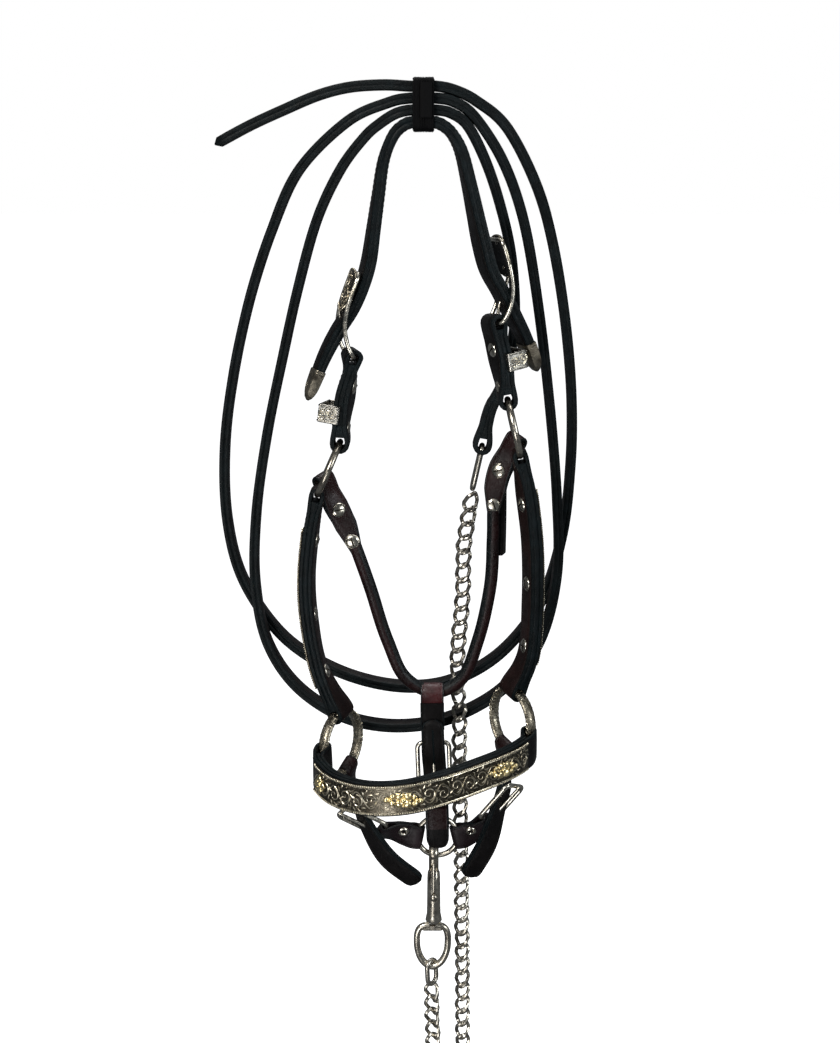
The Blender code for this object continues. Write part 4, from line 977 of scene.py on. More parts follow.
def make_crown():
    crown = Mesh()
    swept(crown, crown_rows, layered(2, 1.1, 0.65, 2.6, 0.3, 0.3), ends=(5, 5), wobble=0.18, phase=1.1)
    crown.piece("crown_strap_leather", BLACK, "crown_strap")
    sew("crown_strap", crown_rows, 2.6, trim=(34, 34))
    for side, part in (("left", crown_rows[:8]), ("right", crown_rows[::-1][:8])):
        tip = Mesh()
        cap = np.vstack([part[:1], part])
        cap[0, :3] += unit(part[0, :3] - part[1, :3]) * 2.0
        cap[:, 6] += 1.6
        cap[:, 7] += 1.8
        swept(tip, cap, layered(1, 1.6, 0, 0, 0, 0.5), ends=(12, 0))
        mouth = cap[-1]
        ahead, wide, out = (v[-1] for v in frames(cap))
        for shift in (0.0, 1.8):
            middle = mouth[:3] - ahead * shift
            loop = [middle + wide * u * (mouth[6] / 2 + 0.1) + out * v * (mouth[7] / 2 + 0.1)
                    for u, v in (squarish(a, 0.55) for a in circle(36))]
            tube(tip, loop, 0.5, 6, closed=True)
        tip.piece("crown_tip_" + side + "_silver", ANTIQUE, "crown_tip_" + side)
        relief = Mesh()
        for lift in (1, -1):
            face_rows = raised(part[1:], lift * (part[1:, 7].mean() / 2 + 1.0))
            engrave(relief, face_rows, 13, 8, 6.5, 2.5, 0.05 * lift, 0.8)
        relief.piece("crown_tip_" + side + "_scrolls", BEADED)


make_crown()


# ---------------------------------------------------------------- buckles

class Buckle:
    """A wire buckle. Its own X is along the heel bar, Y from the heel to the toe, Z outward."""

    def __init__(self, name, heel, toe, bar, width, path, bow=0.0, wire=1.6):
        heel, toe, bar = (np.array(v, float) for v in (heel, toe, bar))
        self.along = unit(toe - heel)
        self.bar = unit(bar - self.along * np.dot(bar, self.along))
        self.out = np.cross(self.bar, self.along)
        self.name, self.heel, self.length = name, heel, np.linalg.norm(toe - heel)
        self.width, self.bow, self.path, self.wire = width, bow, path, wire

    def height(self, y):
        return self.bow * np.sin(math.pi * np.maximum(0.0, y / self.length) ** 0.75)

    def points(self, local):
        local = np.atleast_2d(np.array(local, float))
        return self.heel + local[:, :1] * self.bar + local[:, 1:2] * self.along + local[:, 2:] * self.out

    def make_frame(self, corner=4.5, slot=None):
        outline = rounded_box(-self.width / 2, 0, self.width / 2, self.length, corner, 6)
        line = []
        for near, far in zip(outline, np.roll(outline, -1, 0)):
            steps = max(1, round(math.dist(near, far) / 3.5))
            line += [near + (far - near) * i / steps for i in range(steps)]
        line = np.array(line)
        line = self.points(np.column_stack([line, self.height(line[:, 1])]))
        piece_from(tube, self.name + "_frame", POLISHED, line, self.wire, 12, closed=True,
                   node=self.name, slot=slot)

    def make_tongue(self, name, material):
        pin = Mesh()
        path = smoothed(np.array([(0, y, z, 0, 0, 0, 0, 0) for y, z in self.path]), 1.5)[:, :3]
        radius = np.interp(np.linspace(0, 1, len(path)), (0, 0.15, 0.8, 0.94, 1),
                           (1.9, 1.45, 1.35, 1.15, 0.5))
        tube(pin, self.points(path), radius, 10)
        eye = self.points([(x, 0, 0) for x in (-2.2, -1.9, 1.9, 2.2)])
        rings = [ring_points(p, self.bar, r, 20) for p, r in zip(eye, (3.0, 3.5, 3.5, 3.0))]
        hole = [ring_points(p, self.bar, 1.95, 20) for p in eye[::-1]]
        pin.loft(rings + hole, closed_line=True)
        pin.piece(name + "_pin", material, name)


CROWN_TONGUE = [(1.5, 2.9), (12, 4.2), (24, 8.5), (35, 11.2), (40, 11.4)]
CROWN_BUCKLE = {"left": dict(heel=(-50, 0, -161), toe=(-47, 0, -100), bar=(0.242, -0.97, 0)),
                "right": dict(heel=(54, 0, -136), toe=(54, 0, -76), bar=(-0.342, 0.94, 0))}


def make_crown_buckle(side):
    name = "crown_buckle_" + side
    b = Buckle(name, width=28, path=CROWN_TONGUE, bow=9, **CROWN_BUCKLE[side])
    b.make_frame(5, slot="silver")
    # The oval plate over the toe: engraved outside, lined with leather inside, rope edged.
    half_width, half_height, middle = 15.5, 15.0, b.length - 12
    tilt = float(b.height(b.length - 25) / 25)

    def dished(x, y, lift):
        """A point of the plate, from its middle."""
        y += middle
        return (x, y, (b.length - y) * tilt + 2.2 * (1 - (x / half_width) ** 2) + lift)
    grid = [[(half_width * f * u, half_height * f * v) for u, v in (squarish(a, 0.85) for a in circle(48))]
            for f in (0.02, 0.25, 0.5, 0.75, 0.92, 1.0)]
    top = [b.points([dished(x, y, 0.7) for x, y in ring]) for ring in grid]
    under = [b.points([dished(x, y, -0.5) for x, y in ring]) for ring in grid]
    piece_from(Mesh.loft, name + "_plate", SILVER, top + under[::-1], deep=0.35)
    lining = [b.points([dished(x * 0.95, y * 0.95, z) for x, y in ring])
              for ring, z in [(g, -0.4) for g in grid] + [(g, -1.3) for g in grid[::-1]]]
    piece_from(Mesh.loft, name + "_lining", BLACK, lining, edge=0.4)
    trim = Mesh()
    rim = b.points([dished(x, y, 0.5) for x, y in grid[-1]])
    tube(trim, rim, 0.75, 8, closed=True)
    for near, far in zip(rim, np.roll(rim, -1, 0)):
        for spot in (near, (near + far) / 2):
            dome(trim, spot + b.out * 0.3, b.out, 0.7, 0.6, sides=8, levels=3)
    for x, y, turn in ((-6, -5.5, 1), (6, -5.5, -1), (0, 5.5, 1)):
        t = np.linspace(0, 1, 26)
        reach, angle = 4.6 * (1 - 0.8 * t), math.pi / 2 + turn * 2 * math.pi * 1.3 * t
        curl = [dished(x + r * math.cos(a), y + r * math.sin(a), 0.8) for r, a in zip(reach, angle)]
        tube(trim, b.points(curl), 0.5 - 0.15 * t, 6)
        for a in circle(6):
            leaf = [dished(x + r * math.cos(a + 0.1 * r), y + r * math.sin(a + 0.1 * r), 0.75)
                    for r in (4.9, 5.8, 6.8, 7.6)]
            tube(trim, b.points(leaf), (0.2, 0.5, 0.4, 0.1), 6)
    trim.piece(name + "_rope", BEADED)
    rivet = Mesh()
    for y in (-8.5, 9.5):
        dome(rivet, b.points(dished(0, y, -1.3))[0], -b.out, 1.5, 0.8, sides=14)
    rivet.piece(name + "_rivets", POLISHED)
    b.make_tongue("crown_tongue_" + side, NICKEL)


for side in SIDES:
    make_crown_buckle(side)


# ---------------------------------------------------------------- rings

def upper_axis(side):
    """The line that an upper ring turns about."""
    lean = math.radians(UPPER_LEAN[side])
    return (math.cos(lean), 0, -math.sin(lean))


def lower_axis(side):
    """The line that a lower ring turns about."""
    splay = math.radians(LOWER_SPLAY[side])
    return (math.cos(splay), math.sin(splay), 0)


def make_rings(side):
    upper, lower = "upper_ring_" + side, "lower_ring_" + side
    piece_from(hoop, upper + "_wire", NICKEL, UPPER_CENTRE[side], upper_axis(side), UPPER_RING,
               UPPER_WIRE + 0.4, 72, 14, node=upper)
    axis = np.array(lower_axis(side))
    centre = np.array(LOWER_CENTRE[side], float)
    line = ring_points(centre, axis, LOWER_RING, 84)
    piece_from(tube, lower + "_wire", SILVER, line, LOWER_WIRE, 16, closed=True, flatten=1.9, up=axis,
               deep=0.15, node=lower)
    # The engraved cuts across the ring's two faces.
    cuts = Mesh()
    for spot in line[::2]:
        radial = unit(spot - centre)
        forward = np.cross(axis, radial)
        for s in (1, -1):
            cut = [spot + (axis * s * 1.9 * math.cos(t) + radial * math.sin(t)) * (LOWER_WIRE + 0.02)
                   + forward * (1.1 * math.sin(2.2 * t)) for t in np.linspace(-1.3, 1.3, 7)]
            tube(cuts, cut, (0.1, 0.24, 0.3, 0.32, 0.3, 0.24, 0.1), 5)
    cuts.piece(lower + "_engraving", BEADED, body=body_of(lower))


for side in SIDES:
    make_rings(side)
piece_from(hoop, "chin_ring_wire", NICKEL, CHIN_CENTRE, (0, -1, 0), CHIN_RING, CHIN_WIRE + 0.2, 64, 14,
           node="chin_ring")


def on_upper_ring(side, down):
    """A point on the ring's leaning centre line, down below its centre."""
    lean = math.radians(UPPER_LEAN[side])
    centre = UPPER_CENTRE[side]
    return (centre[0] - down * math.sin(lean), 0, centre[2] - down * math.cos(lean))


# ---------------------------------------------------------------- chapes and keepers

CHAPE_MIDDLE = {"left": [(-51.5, -172), (-55, -190), (-58, -208)],
                "right": [(55.5, -147), (59, -162), (62, -178)]}
CHAPE_SPLAY = {"left": -14, "right": 28}
CHAPE_WIDTH, CHAPE_THICK = 20.0, 10.5


def strap_between(name, table, ends, finish, ply, flare):
    """A strap folded round a bar at each end, with its filler layer and its stitching."""
    fine = smoothed(table, 1.6)
    strap = Mesh()
    reach = folded(strap, fine, ply, ends, flare)
    strap.piece(name + "_leather", finish, name)
    along = distances(fine[:, :3])
    near = (along > 3.4) & (along < along[-1] - 3.4)
    core = fine[near].copy()
    core[:, 6] -= 0.5
    core[:, 7] = 2 * reach[near] - ply - 0.1
    piece_from(swept, name + "_filler", BLACK, core, FILLER, body=body_of(name))
    inside = (along > 9) & (along < along[-1] - 9)
    sew(name, fine[inside], 2.4, body=body_of(name), trim=(1, 1))
    return fine


def make_chape(side):
    """A chape with its two screws and its silver keeper."""
    heel = CROWN_BUCKLE[side]["heel"]
    ring_top = on_upper_ring(side, -UPPER_RING)
    points = [heel] + [(x, 0, z) for x, z in CHAPE_MIDDLE[side]] + [ring_top]
    splay = CHAPE_SPLAY[side]
    turn = CROWN_TURN[side]
    sides = [across(t) for t in (turn, (turn + splay) / 2, splay, splay / 2, 0)]
    table = rows(points, sides, [22.0, 20.5, 19.5, 20.5, 22.5], [9.6, 10.2, 10.8, 10.8, 10.4])
    strap_between("chape_" + side, table, (4.9, 5.6), BLACK, ply=3.4, flare=14)
    # The frame's own rows: its screws and its keeper are counted on them.
    thick = [8.5, CHAPE_THICK - 1, CHAPE_THICK, CHAPE_THICK, 10]
    counted = smoothed(rows(points, sides, CHAPE_WIDTH, thick), 10)
    face = frames(counted)[2]
    for i, row in enumerate((2, 5)):
        out = face[row] * math.copysign(1, face[row, 0] * -SIGN[side])
        seat = counted[row, :3] + out * (counted[row, 7] / 2 - 0.1)
        screw(f"chape_screw_{side}_{i + 1}", seat, out, turn=0.6 + i)
    row = 3 if side == "right" else 4
    middle = counted[row, :3]
    down = unit(counted[row + 1, :3] - counted[row - 1, :3])
    wide = np.array(across(splay))
    outward = np.cross(wide, down)
    outward *= math.copysign(1, outward[0] * SIGN[side])
    along = np.cross(wide, outward)
    sleeve = Mesh()
    outer = rounded_box(-13.2, -0.9, 13.2, 15.4, 1.6)
    inner = rounded_box(-11.8, 0.5, 11.8, 14.0, 0.9)
    stack = [(inner, -6.5), (inner * 0.5 + outer * 0.5, -6.9), (outer, -6.5), (outer, 6.5),
             (inner * 0.5 + outer * 0.5, 6.9), (inner, 6.5)]
    rings = [middle + shape[:, :1] * wide + shape[:, 1:] * outward + along * z for shape, z in stack]
    sleeve.loft(rings, closed_line=True, deep=0.12)
    for z in (-5.6, 5.6):
        loop = rounded_box(-13.4, -1.0, 13.4, 15.6, 1.7)
        tube(sleeve, middle + loop[:, :1] * wide + loop[:, 1:] * outward + along * z, 0.45, 6, closed=True)
    sleeve.piece("keeper_" + side + "_sleeve", BRIGHT, "keeper_" + side)
    relief = Mesh()
    tall = 9.0
    for start, way, low, high, count in ((outward * 15.45, wide, -11.5, 11.5, 9),
                                         (wide * -13.25, outward, 1, 14.5, 7),
                                         (wide * 13.25, outward, 1, 14.5, 7)):
        line = middle + start + np.linspace(low, high, count)[:, None] * way
        engrave(relief, rows(line, tuple(along), tall, 1), distances(line)[-1], tall, 7.5, thin=0.9)
    relief.piece("keeper_" + side + "_scrolls", BEADED)


for side in SIDES:
    make_chape(side)


# ---------------------------------------------------------------- cheeks

CHEEK_MIDDLE = {"left": [(-81.5, -292), (-85, -328), (-83.5, -361), (-76.5, -400)],
                "right": [(79, -262), (84, -302), (85, -346), (82.5, -388)]}
CHEEK_TURN = {"left": -6, "right": 18}
CHEEK_WIDTH, CHEEK_THICK = 21.0, 9.5


def make_cheek(side):
    """A cheek strap with its plate outside and its three screws inside."""
    low = LOWER_CENTRE[side]
    points = ([on_upper_ring(side, UPPER_RING)] + [(x, 0, z) for x, z in CHEEK_MIDDLE[side]]
              + [(low[0], 0, low[2] + LOWER_RING)])
    turn = CHEEK_TURN[side]
    sides = [across(t) for t in (0, turn, turn, turn, turn, LOWER_SPLAY[side])]
    table = rows(points, sides, CHEEK_WIDTH, CHEEK_THICK)
    fine = strap_between("cheek_" + side, table, (4.4, 4.8), CHEEK, ply=2.8, flare=16)
    counted = smoothed(table, 12)
    face = frames(counted)[2]
    outer = math.copysign(1, face[6, 0] * SIGN[side])
    along = distances(fine[:, :3])
    part = fine[(along > 25) & (along < along[-1] - 25)].copy()
    part[:, 6] = CHEEK_WIDTH - 3.4
    plate = "cheek_plate_" + side
    ornate_plate(plate + "_silver", part, plate, outer * (CHEEK_THICK / 2 + 0.95), pitch=13)
    for i, row in enumerate((3, 8, len(counted) - 4)):
        out = face[row] * -outer
        seat = counted[row, :3] + out * (CHEEK_THICK / 2 - 0.05)
        screw(f"cheek_screw_{side}_{i + 1}", seat, out, turn=0.4 + 1.3 * i)


for side in SIDES:
    make_cheek(side)


# ---------------------------------------------------------------- noseband

NOSE_ROUTE = [(-73, -20.7, -465.4), (-76, -32, -466.5), (-74.5, -46, -468), (-62, -67, -471),
              (-40, -84, -471), (-13, -91, -468), (14, -86, -463.5), (44, -69, -459),
              (66, -51, -456.5), (80, -31, -455), (82.7, -18.2, -453.4)]
NOSE_HEIGHT, NOSE_THICK = 25.0, 8.0


def make_noseband():
    """The noseband and its plate. Returns the rows its ornaments are counted on, and its outer side."""
    fine = smoothed(rows(NOSE_ROUTE, (0, 0, 1), NOSE_HEIGHT, NOSE_THICK), 2.5)
    ply = 2.6
    piece_from(folded, "noseband_leather", BLACK, fine, ply, (4.9, 4.9), 17,
               layered(1, 0.9, 0, 2.2, 0.25, 0.15), node="noseband")
    along = distances(fine[:, :3])
    inside = (along > 11) & (along < along[-1] - 11)
    core = fine[inside].copy()
    core[:, 7] = NOSE_THICK - 2 * ply - 0.15
    core[:, 6] += 0.5
    piece_from(swept, "noseband_padding", BLACK, core, layered(1, 0.8, 0, 0, 0, 0), ends=(3, 3), body="nose")
    sew("noseband", fine[inside], 2.2, body="nose", trim=(2, 2))
    out = math.copysign(1, -frames(fine)[2][len(fine) // 2, 1])
    counted = smoothed(rows(NOSE_ROUTE, (0, 0, 1), NOSE_HEIGHT, [12, 10] + [NOSE_THICK] * 8 + [12]), 10)
    start = distances(counted[:, :3])[3]
    part = fine[(along > start - 3) & (along < along[-1] - start + 12)].copy()
    part[:, 6] = NOSE_HEIGHT - 2.6
    ornate_plate("noseband_plate_silver", part, "noseband_plate", out * (NOSE_THICK / 2 + 0.95), pitch=11.0)
    return counted, out


def petals(mesh, centre, right, up, out, size, count, turn, lift):
    """Petals that lie round a centre on a surface whose directions are right, up and out."""
    for k in range(count):
        a = turn + 2 * math.pi * k / count
        way = right * math.cos(a) + up * math.sin(a)
        side_way = np.cross(out, way)
        rings = []
        for t in np.linspace(0, 1, 9):
            wide = size * 0.36 * math.sin(math.pi * min(1, 0.12 + 0.88 * t)) ** 0.7 + 0.12
            spine = centre + way * size * (0.16 + 0.84 * t) + out * lift * 0.35 * math.sin(math.pi * t)
            tall = lift * 0.55 * (0.4 + 0.6 * math.sin(math.pi * t))
            rings.append([spine + side_way * wide * math.cos(b) + out * tall * max(math.sin(b), -0.25)
                          for b in circle(12)])
        mesh.loft(rings)


def make_rosettes(counted, out_sign):
    plate = counted[3:-2].copy()
    face = frames(raised(plate, out_sign * (NOSE_THICK / 2 + 1.15)))[2] * out_sign
    for name, index, wings in ROSETTES:
        out = unit(face[index])
        up = unit(np.array((0, 0, 1.0)) - out * out[2])
        right = np.cross(up, out)
        centre = plate[index, :3] + out * (NOSE_THICK / 2 + 1.9)
        flower = Mesh()
        petals(flower, centre, right, up, out, 7.6, 4, math.pi / 4 if wings else 0.0, 2.0)
        dome(flower, centre + out * 0.5, out, 2.0, 1.5, sides=14)
        hoop(flower, centre + out * 0.5, out, 2.4, 0.4, 24)
        for a in circle(4) + (0 if wings else math.pi / 4):
            bud = centre + (right * math.cos(a) + up * math.sin(a)) * 4.6 + out * 0.1
            dome(flower, bud, out, 1.0, 0.9, sides=10, levels=4)
        if wings:
            for s in (1, -1):
                wing = centre + right * s * 9.5
                petals(flower, wing, right, up, out, 5.2, 3, 0.0 if s > 0 else math.pi, 1.7)
                dome(flower, wing + out * 0.4, out, 1.3, 1.0, sides=12)
        flower.piece(name + "_flower", GOLD, name)


ROSETTES = [("rosette_left", 1, False), ("rosette_centre", 8, True), ("rosette_right", -4, True)]
nose_counted, nose_out = make_noseband()
make_rosettes(nose_counted, nose_out)


# ---------------------------------------------------------------- throat strap

THROAT_ROLL = 9.5
THROAT_AT = math.radians(54)


def throat_end(side):
    """Where the throat strap sits on the upper ring's wire, and which way the wire runs there."""
    lean = math.radians(UPPER_LEAN[side])
    down = np.array((-math.sin(lean), 0, -math.cos(lean)))
    back = np.array((0, 1.0, 0))
    radial, wire_way = turned(down, back, THROAT_AT)
    return tuple(np.array(UPPER_CENTRE[side]) + UPPER_RING * radial), tuple(wire_way)


left_end, left_wire = throat_end("left")
right_end, right_wire = throat_end("right")
THROAT_ROUTE = [left_end, (-66, 18, -272), (-56, 17, -292), (-47, 17, -315), (-38, 18, -342),
                (-25, 20, -384), (-12, 21, -413), (11, 22, -426), (33, 21, -414), (45, 20, -383),
                (54, 18, -342), (56, 17, -303), (56, 16, -274), (60, 17, -250), right_end]
THROAT_SIDES = ([left_wire, (0.7, 0.5, 0.5), (0.93, 0, 0.35), (0.93, 0, 0.35)] + [(0.9, 0, 0.4)] * 2
                + [(0.6, 0, 0.8), (0, 0, 1), (-0.6, 0, 0.8), (-0.95, 0, 0.3)] + [(-1, 0, 0.1)] * 3
                + [(-0.9, 0.4, 0.3), right_wire])
throat_rows = rows(THROAT_ROUTE, THROAT_SIDES, [14, 16, 17, 13] + [THROAT_ROLL] * 8 + [17, 16, 14],
                   [8, 6, 6, 8] + [THROAT_ROLL] * 8 + [6, 6, 8])


def make_throat():
    fine = smoothed(throat_rows, 2.5)
    along = distances(fine[:, :3])
    total = along[-1]
    core = fine[(along > 46) & (along < total - 44)].copy()
    from_end = np.minimum(distances(core[:, :3]), distances(core[:, :3])[::-1])
    core[:, 6] = THROAT_ROLL
    core[:, 7] = THROAT_ROLL * (0.55 + 0.45 * np.clip(from_end / 14, 0, 1))
    # A round section. Along one side a lip shows, where the leather's two edges are stitched together. The
    # edge value is high on both flanks of the roll, not only at the lip, so the flanks take the dark edge
    # colour as painted shade and only the front and back stay burgundy.
    section = []
    for u, v in zip(np.cos(circle(26)), np.sin(circle(26))):
        edge = min(1.0, max(0.0, (u - 0.22) * 4)) if u > 0 else max(0.0, (-u - 0.72) * 3)
        section.append((u * (1.09 if u > 0.86 else 1), 0, v, 0, edge))
    piece_from(swept, "throat_strap_roll", BURGUNDY, core, np.array(section), wobble=0.16, phase=0.7,
               node="throat_strap")
    thread_rows = core.copy()
    thread_rows[:, 6:8] = THROAT_ROLL * 0.92, THROAT_ROLL * 0.62
    sew("throat_strap", thread_rows, 0.9, sides=(1,), pitch=3.4, length=2.5, trim=(3, 3))
    for name, part in (("left", fine[along < 62]), ("right", fine[along > total - 60][::-1])):
        part = part.copy()
        reach = distances(part[:, :3])
        part[:, 6] = np.interp(reach, (0, 10, 22, 40, 60), (15.5, 16.5, 18.5, 17.0, 9.0))
        part[:, 7] = np.interp(reach, (0, 10, 60), (7.4, 6.4, 7.6))
        piece_from(folded, "throat_strap_fold_" + name, BURGUNDY, part, 2.6, (3.9, 0),
                   section=layered(1, 0.8, 0, 2.2, 0.22, 0.15))
        core = part[(reach > 9) & (reach < 50)].copy()
        core[:, 7] = 1.6
        piece_from(swept, "throat_strap_filler_" + name, BLACK, core, FILLER, ends=(3, 3))
    loose = rows([(59.5, 21, -262), (60.6, 21.6, -288), (61.6, 21.8, -316)], (-1, 0.15, 0),
                 [13, 11, 8.5], 2.6)
    piece_from(swept, "throat_strap_inner_ply", BLACK, smoothed(loose, 2.5),
               layered(1, 0.7, 0, 2.0, 0.2, 0.2), ends=(0, 3))
    counted = smoothed(throat_rows, 13)
    face = frames(counted)[2]
    for side, first, second in (("left", 2, 4), ("right", -3, -5)):
        for i, row in enumerate((first, second)):
            out = face[row] * math.copysign(1, -face[row, 1])
            seat = counted[row, :3] + out * (counted[row, 7] / 2 + 0.1)
            screw(f"throat_screw_{side}_{i + 1}", seat, out, turn=0.5 + 1.7 * i)


make_throat()


# ---------------------------------------------------------------- jaw strap

JAW_WIDTH = 18.0
JAW_BUCKLE = dict(heel=(10.3, 22, -467), toe=(11.5, 22, -503), bar=(-1, 0, 0))
FLAT_TONGUE = 3.4


def make_jaw():
    table = rows([(9.5, 21.8, -425.5), (9.5, 22, -436), (9.8, 22, -452), (10.3, 22, -467)],
                 (1, 0, 0), JAW_WIDTH, [14.6, 9.5, 7, 7.4])
    section = layered(1, 0.8, 0, 2.0, 0.2, 0.15)
    piece_from(folded, "jaw_strap_leather", GLOSSY_LIT_BURGUNDY, smoothed(table, 2.0), 2.3, (6.2, 3.1), 14, section,
               node="jaw_strap")
    facing = rows([(9.5, 15.4, -432.5), (9.6, 16.2, -442), (9.9, 17.2, -455)], (1, 0, 0), 18.6, 1.8)
    piece_from(swept, "jaw_strap_facing", BLACK, smoothed(facing, 2.0), layered(1, 0.7, 0, 2.0, 0.2, 0.1))
    path = [(1.5, 2.9), (12, 3.0), (36, FLAT_TONGUE), (38.5, FLAT_TONGUE)]
    buckle = Buckle("jaw_buckle", width=25, wire=1.9, path=path, **JAW_BUCKLE)
    buckle.make_frame()
    buckle.make_tongue("jaw_tongue", NICKEL)
    route = [(14, 20, -529), (13.6, 21.5, -520), (12.6, 26.6, -507), (11.6, 23, -489), (10.6, 15.2, -470),
             (9.6, 14.2, -446)]
    fine = smoothed(rows(route, (1, 0, 0), [JAW_WIDTH] * 5 + [16], [8.6, 5.5, 4.6, 4.6, 4.6, 4.0]), 2.5)
    reach = distances(fine[:, :3])
    billet = Mesh()
    body = fine[reach > 9].copy()
    body[:, 6] += 0.4
    swept(billet, body, layered(2, 0.8, 0.5, 2.2, 0.25, 0.35), ends=(3, 7), wobble=0.15, phase=2.0)
    # The raised seam down the middle of its face.
    face = frames(body)[2]
    front = face * np.sign(-face[:, 1:2])
    ridge = body[:, :3] + front * (body[:, 7:8] / 2 + 0.1)
    tube(billet, ridge[2:-3], 0.75, 6, edge=0.8)
    billet.piece("jaw_billet_leather", BLACK, "jaw_billet")
    sew("jaw_billet", body, 2.2, trim=(5, 6))
    piece_from(folded, "jaw_billet_fold", BLACK, fine[reach < 26], 2.2, (3.6, 0), 12)
    tail = rows([(13.4, 16.0, -519), (13.8, 14.6, -533), (14, 14.4, -543), (14, 15.2, -553)], (1, 0, 0),
                [17.5, 18, 18, 17], 3.2)
    piece_from(swept, "jaw_billet_tail", BLACK, smoothed(tail, 1.5), layered(1, 0.9, 0, 2.0, 0.25, 0.2),
               ends=(2, 9))
    wrap = rows([(13.4, 17.4, -519), (13.7, 17.0, -528), (13.9, 16.4, -536.5)], (1, 0, 0), 18.6,
                [11, 9.2, 8.0])
    piece_from(swept, "jaw_billet_wrap", BURGUNDY, smoothed(wrap, 1.5), layered(1, 1.4, 0, 2.6, 0.2, 0.3))


make_jaw()


# ---------------------------------------------------------------- chin straps

CHIN_WIDTH, CHIN_THICK, TAB_WIDTH, TAB_THICK = 17.0, 4.5, 19.0, 6.0
CHIN_BUCKLE = {"left": dict(heel=(-30, 16, -538), toe=(-61, 14, -521), bar=(0.39, -0.68, 0.63)),
               "right": dict(heel=(53, 16, -528), toe=(75, 13, -500), bar=(0.56, 0.74, -0.36))}
CHIN_TAB = {"left": [(-2, 20, -545), (-9, 20, -543.5), (-19, 18.5, -540), (-30, 16, -538)],
            "right": [(30, 20, -545), (37, 19.8, -543), (45, 18.6, -538), (53, 16, -528)]}
CHIN_TAB_SIDES = {"left": [(0, 0, 1), (0.25, -0.1, 0.95), (0.36, -0.4, 0.84), (0.39, -0.68, 0.63)],
                  "right": [(0, 0, 1), (-0.4, -0.15, 0.9), (-0.52, -0.45, 0.72), (-0.56, -0.74, 0.36)]}
CHIN_ROUTE = {"left": [(-53.7, 16, -497), (-48.3, 17.1, -516), (-41.8, 14, -534), (-25, 10.5, -560),
                       (-1, 12, -581)],
              "right": [(66.3, 13, -485.6), (66, 14.3, -501.7), (61.7, 13.9, -518.8), (52, 10.5, -549),
                        (38, 12, -576)]}
CHIN_BILLET_SIDE = {"left": (0.39, -0.68, 0.63), "right": (-0.56, -0.74, 0.36)}
CHIN_TIP_SIDE = {"left": (0.6, -0.4, 0.69), "right": (-0.8, -0.4, 0.5)}
CHIN_LOOP_AT = math.radians(20)


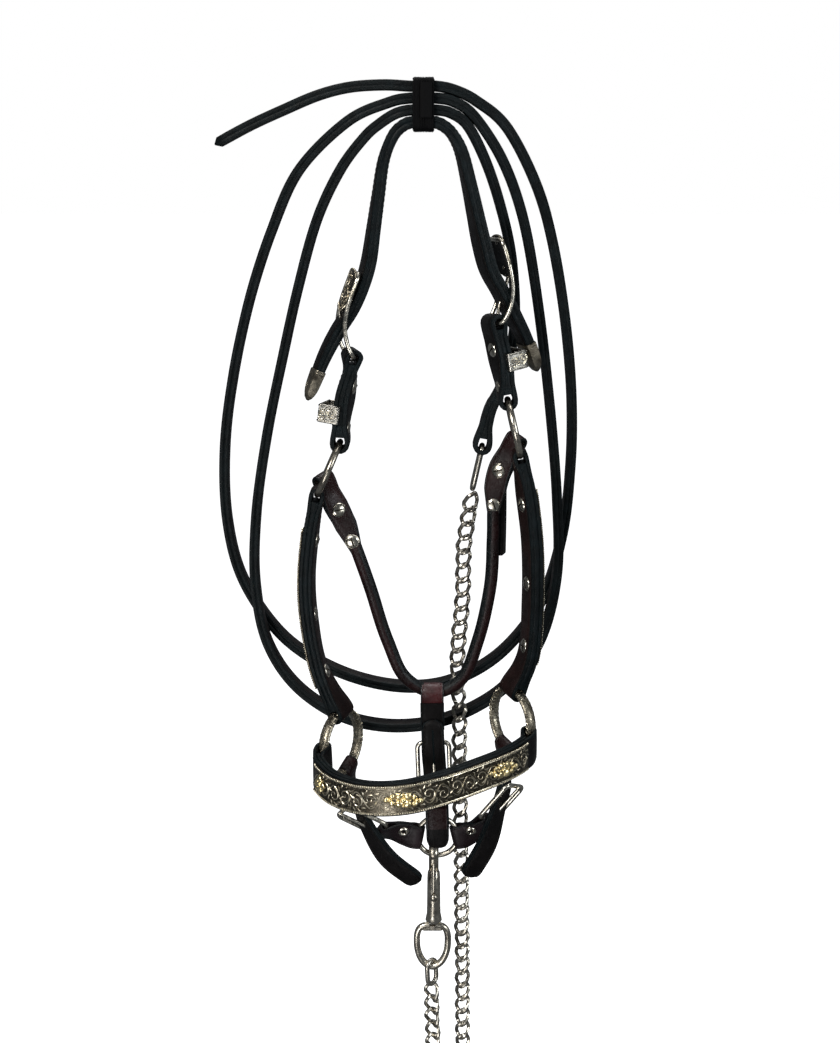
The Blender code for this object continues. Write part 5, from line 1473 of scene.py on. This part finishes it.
def make_chin(side):
    """One side's chin buckle, tab with its eyelet, and strap from the lower ring."""
    path = [(1.5, 2.9), (12, 3.2), (36, FLAT_TONGUE), (38, FLAT_TONGUE)]
    buckle = Buckle("chin_buckle_" + side, width=24, wire=1.9, path=path, **CHIN_BUCKLE[side])
    buckle.make_frame()
    buckle.make_tongue("chin_tongue_" + side, POLISHED)
    tab = "chin_tab_" + side
    fine = smoothed(rows(CHIN_TAB[side], CHIN_TAB_SIDES[side], [TAB_WIDTH, TAB_WIDTH + 1, TAB_WIDTH, 17.0],
                         [8.6, TAB_THICK, TAB_THICK, 7.2]), 1.5)
    section = layered(1, 0.8, 0, 1.8, 0.18, 0.15)
    piece_from(folded, tab + "_leather", BROWN, fine, 2.2, (3.7, 3.1), 9, section, node=tab)
    reach = distances(fine[:, :3])
    core = fine[(reach > 6) & (reach < reach[-1] - 6)].copy()
    core[:, 7] = 1.8
    piece_from(swept, tab + "_filler", BLACK, core, FILLER, ends=(2, 2))
    # The eyelet, on the side that faces the front.
    at_row = int(0.46 * len(fine))
    wide, face = (v[at_row] for v in frames(fine)[1:])
    out = face * math.copysign(1, -face[1])
    upward = wide * math.copysign(1, wide[2])
    seat = fine[at_row, :3] + out * (fine[at_row, 7] / 2 + 0.15) + upward * 3.6
    eyelet = Mesh()
    hoop(eyelet, seat + out * 0.35, out, 2.9, 1.05, sides=8)
    hoop(eyelet, seat - out * 0.1, out, 3.9, 0.45)
    eyelet.piece(tab + "_eyelet", POLISHED)
    # A black leather disc fills the eyelet's opening as painted shade for the inside of the hole.
    piece_from(dome, tab + "_hole", BLACK, seat - out * 0.3, out, 2.0, 0.35, sides=18, deep=1.0)

    back = -np.array(across(LOWER_SPLAY[side]))
    down = np.array((0, 0, -1.0))
    radial, wire_way = turned(down, back, CHIN_LOOP_AT)
    loop = np.array(LOWER_CENTRE[side]) + LOWER_RING * radial
    wire_way = -wire_way
    billet_side = np.array(CHIN_BILLET_SIDE[side])
    sides = [tuple(wire_way)] + [tuple(wire_way * f + billet_side * (1 - f)) for f in (0.5, 0.1)]
    table = rows([tuple(loop)] + CHIN_ROUTE[side], sides + [tuple(billet_side)] + [CHIN_TIP_SIDE[side]] * 2,
                 [CHIN_WIDTH] * 5 + [17.0], [9.5, 6.5, 5] + [CHIN_THICK] * 3)
    fine = smoothed(table, 2.5)
    reach = distances(fine[:, :3])
    strap = "chin_strap_" + side
    body = fine[reach > 13].copy()
    body[:, 6] += 0.4
    piece_from(swept, strap + "_leather", BLACK, body, layered(2, 0.9, 0.4, 2.2, 0.28, 0.3), ends=(3, 8),
               wobble=0.2, phase=1.3, node=strap)
    sew(strap, body, 2.2, trim=(8, 9))
    piece_from(folded, strap + "_fold", BURGUNDY, fine[reach < 34], 2.3, (4.1, 0), 14)


for side in SIDES:
    make_chin(side)


# ---------------------------------------------------------------- tie

def make_tie():
    top = LAYER[2] + LEAD_THICK / 2 + 0.35
    half = CROWN_WIDTH / 2 + 0.6
    band = Mesh()
    outline = rounded_box(-half - 1.5, -0.1, half + 1.5, top + 1.5, 3.5, 8)
    inner = rounded_box(-half - 0.2, 1.3, half + 0.2, top + 0.1, 2.2, 8)
    profile = [(-7.6, 0.15), (-7.3, 0.8), (-5.5, 1.15), (-2.0, 1.0), (0.4, 0.8), (3.0, 1.05), (5.8, 1.15),
               (7.3, 0.8), (7.6, 0.15)]
    rings = []
    for x, lift in profile:
        rings.append([(2.5 + x + 0.25 * math.sin(5 * a), u, v) for (u, v), a in
                      zip(inner + (outline - inner) * lift, np.linspace(0, 2 * math.pi, len(outline)))])
    rings += [[(2.5 + x, u, v) for u, v in inner] for x in (7.4, -7.4)]
    band.loft(rings, closed_line=True)
    # The last turn of the tie, lapped over the first, and its woven ribs.
    for x in np.arange(-6.6, 6.7, 1.1):
        line = [(2.5 + x, u, v) for u, v in outline]
        tube(band, line, 0.42 + 0.08 * math.sin(3 * x), 5, closed=True)
    band.piece("lead_tie_band", WOVEN, "lead_tie")
    lap = rows([(4.5, -half - 2.3, z) for z in np.linspace(top - 2, 9, 6)], (1, 0, 0), 8.5, 1.4)
    piece_from(swept, "lead_tie_end", WOVEN, lap, layered(1, 0.4, 0, 0, 0, 0.1))


make_tie()
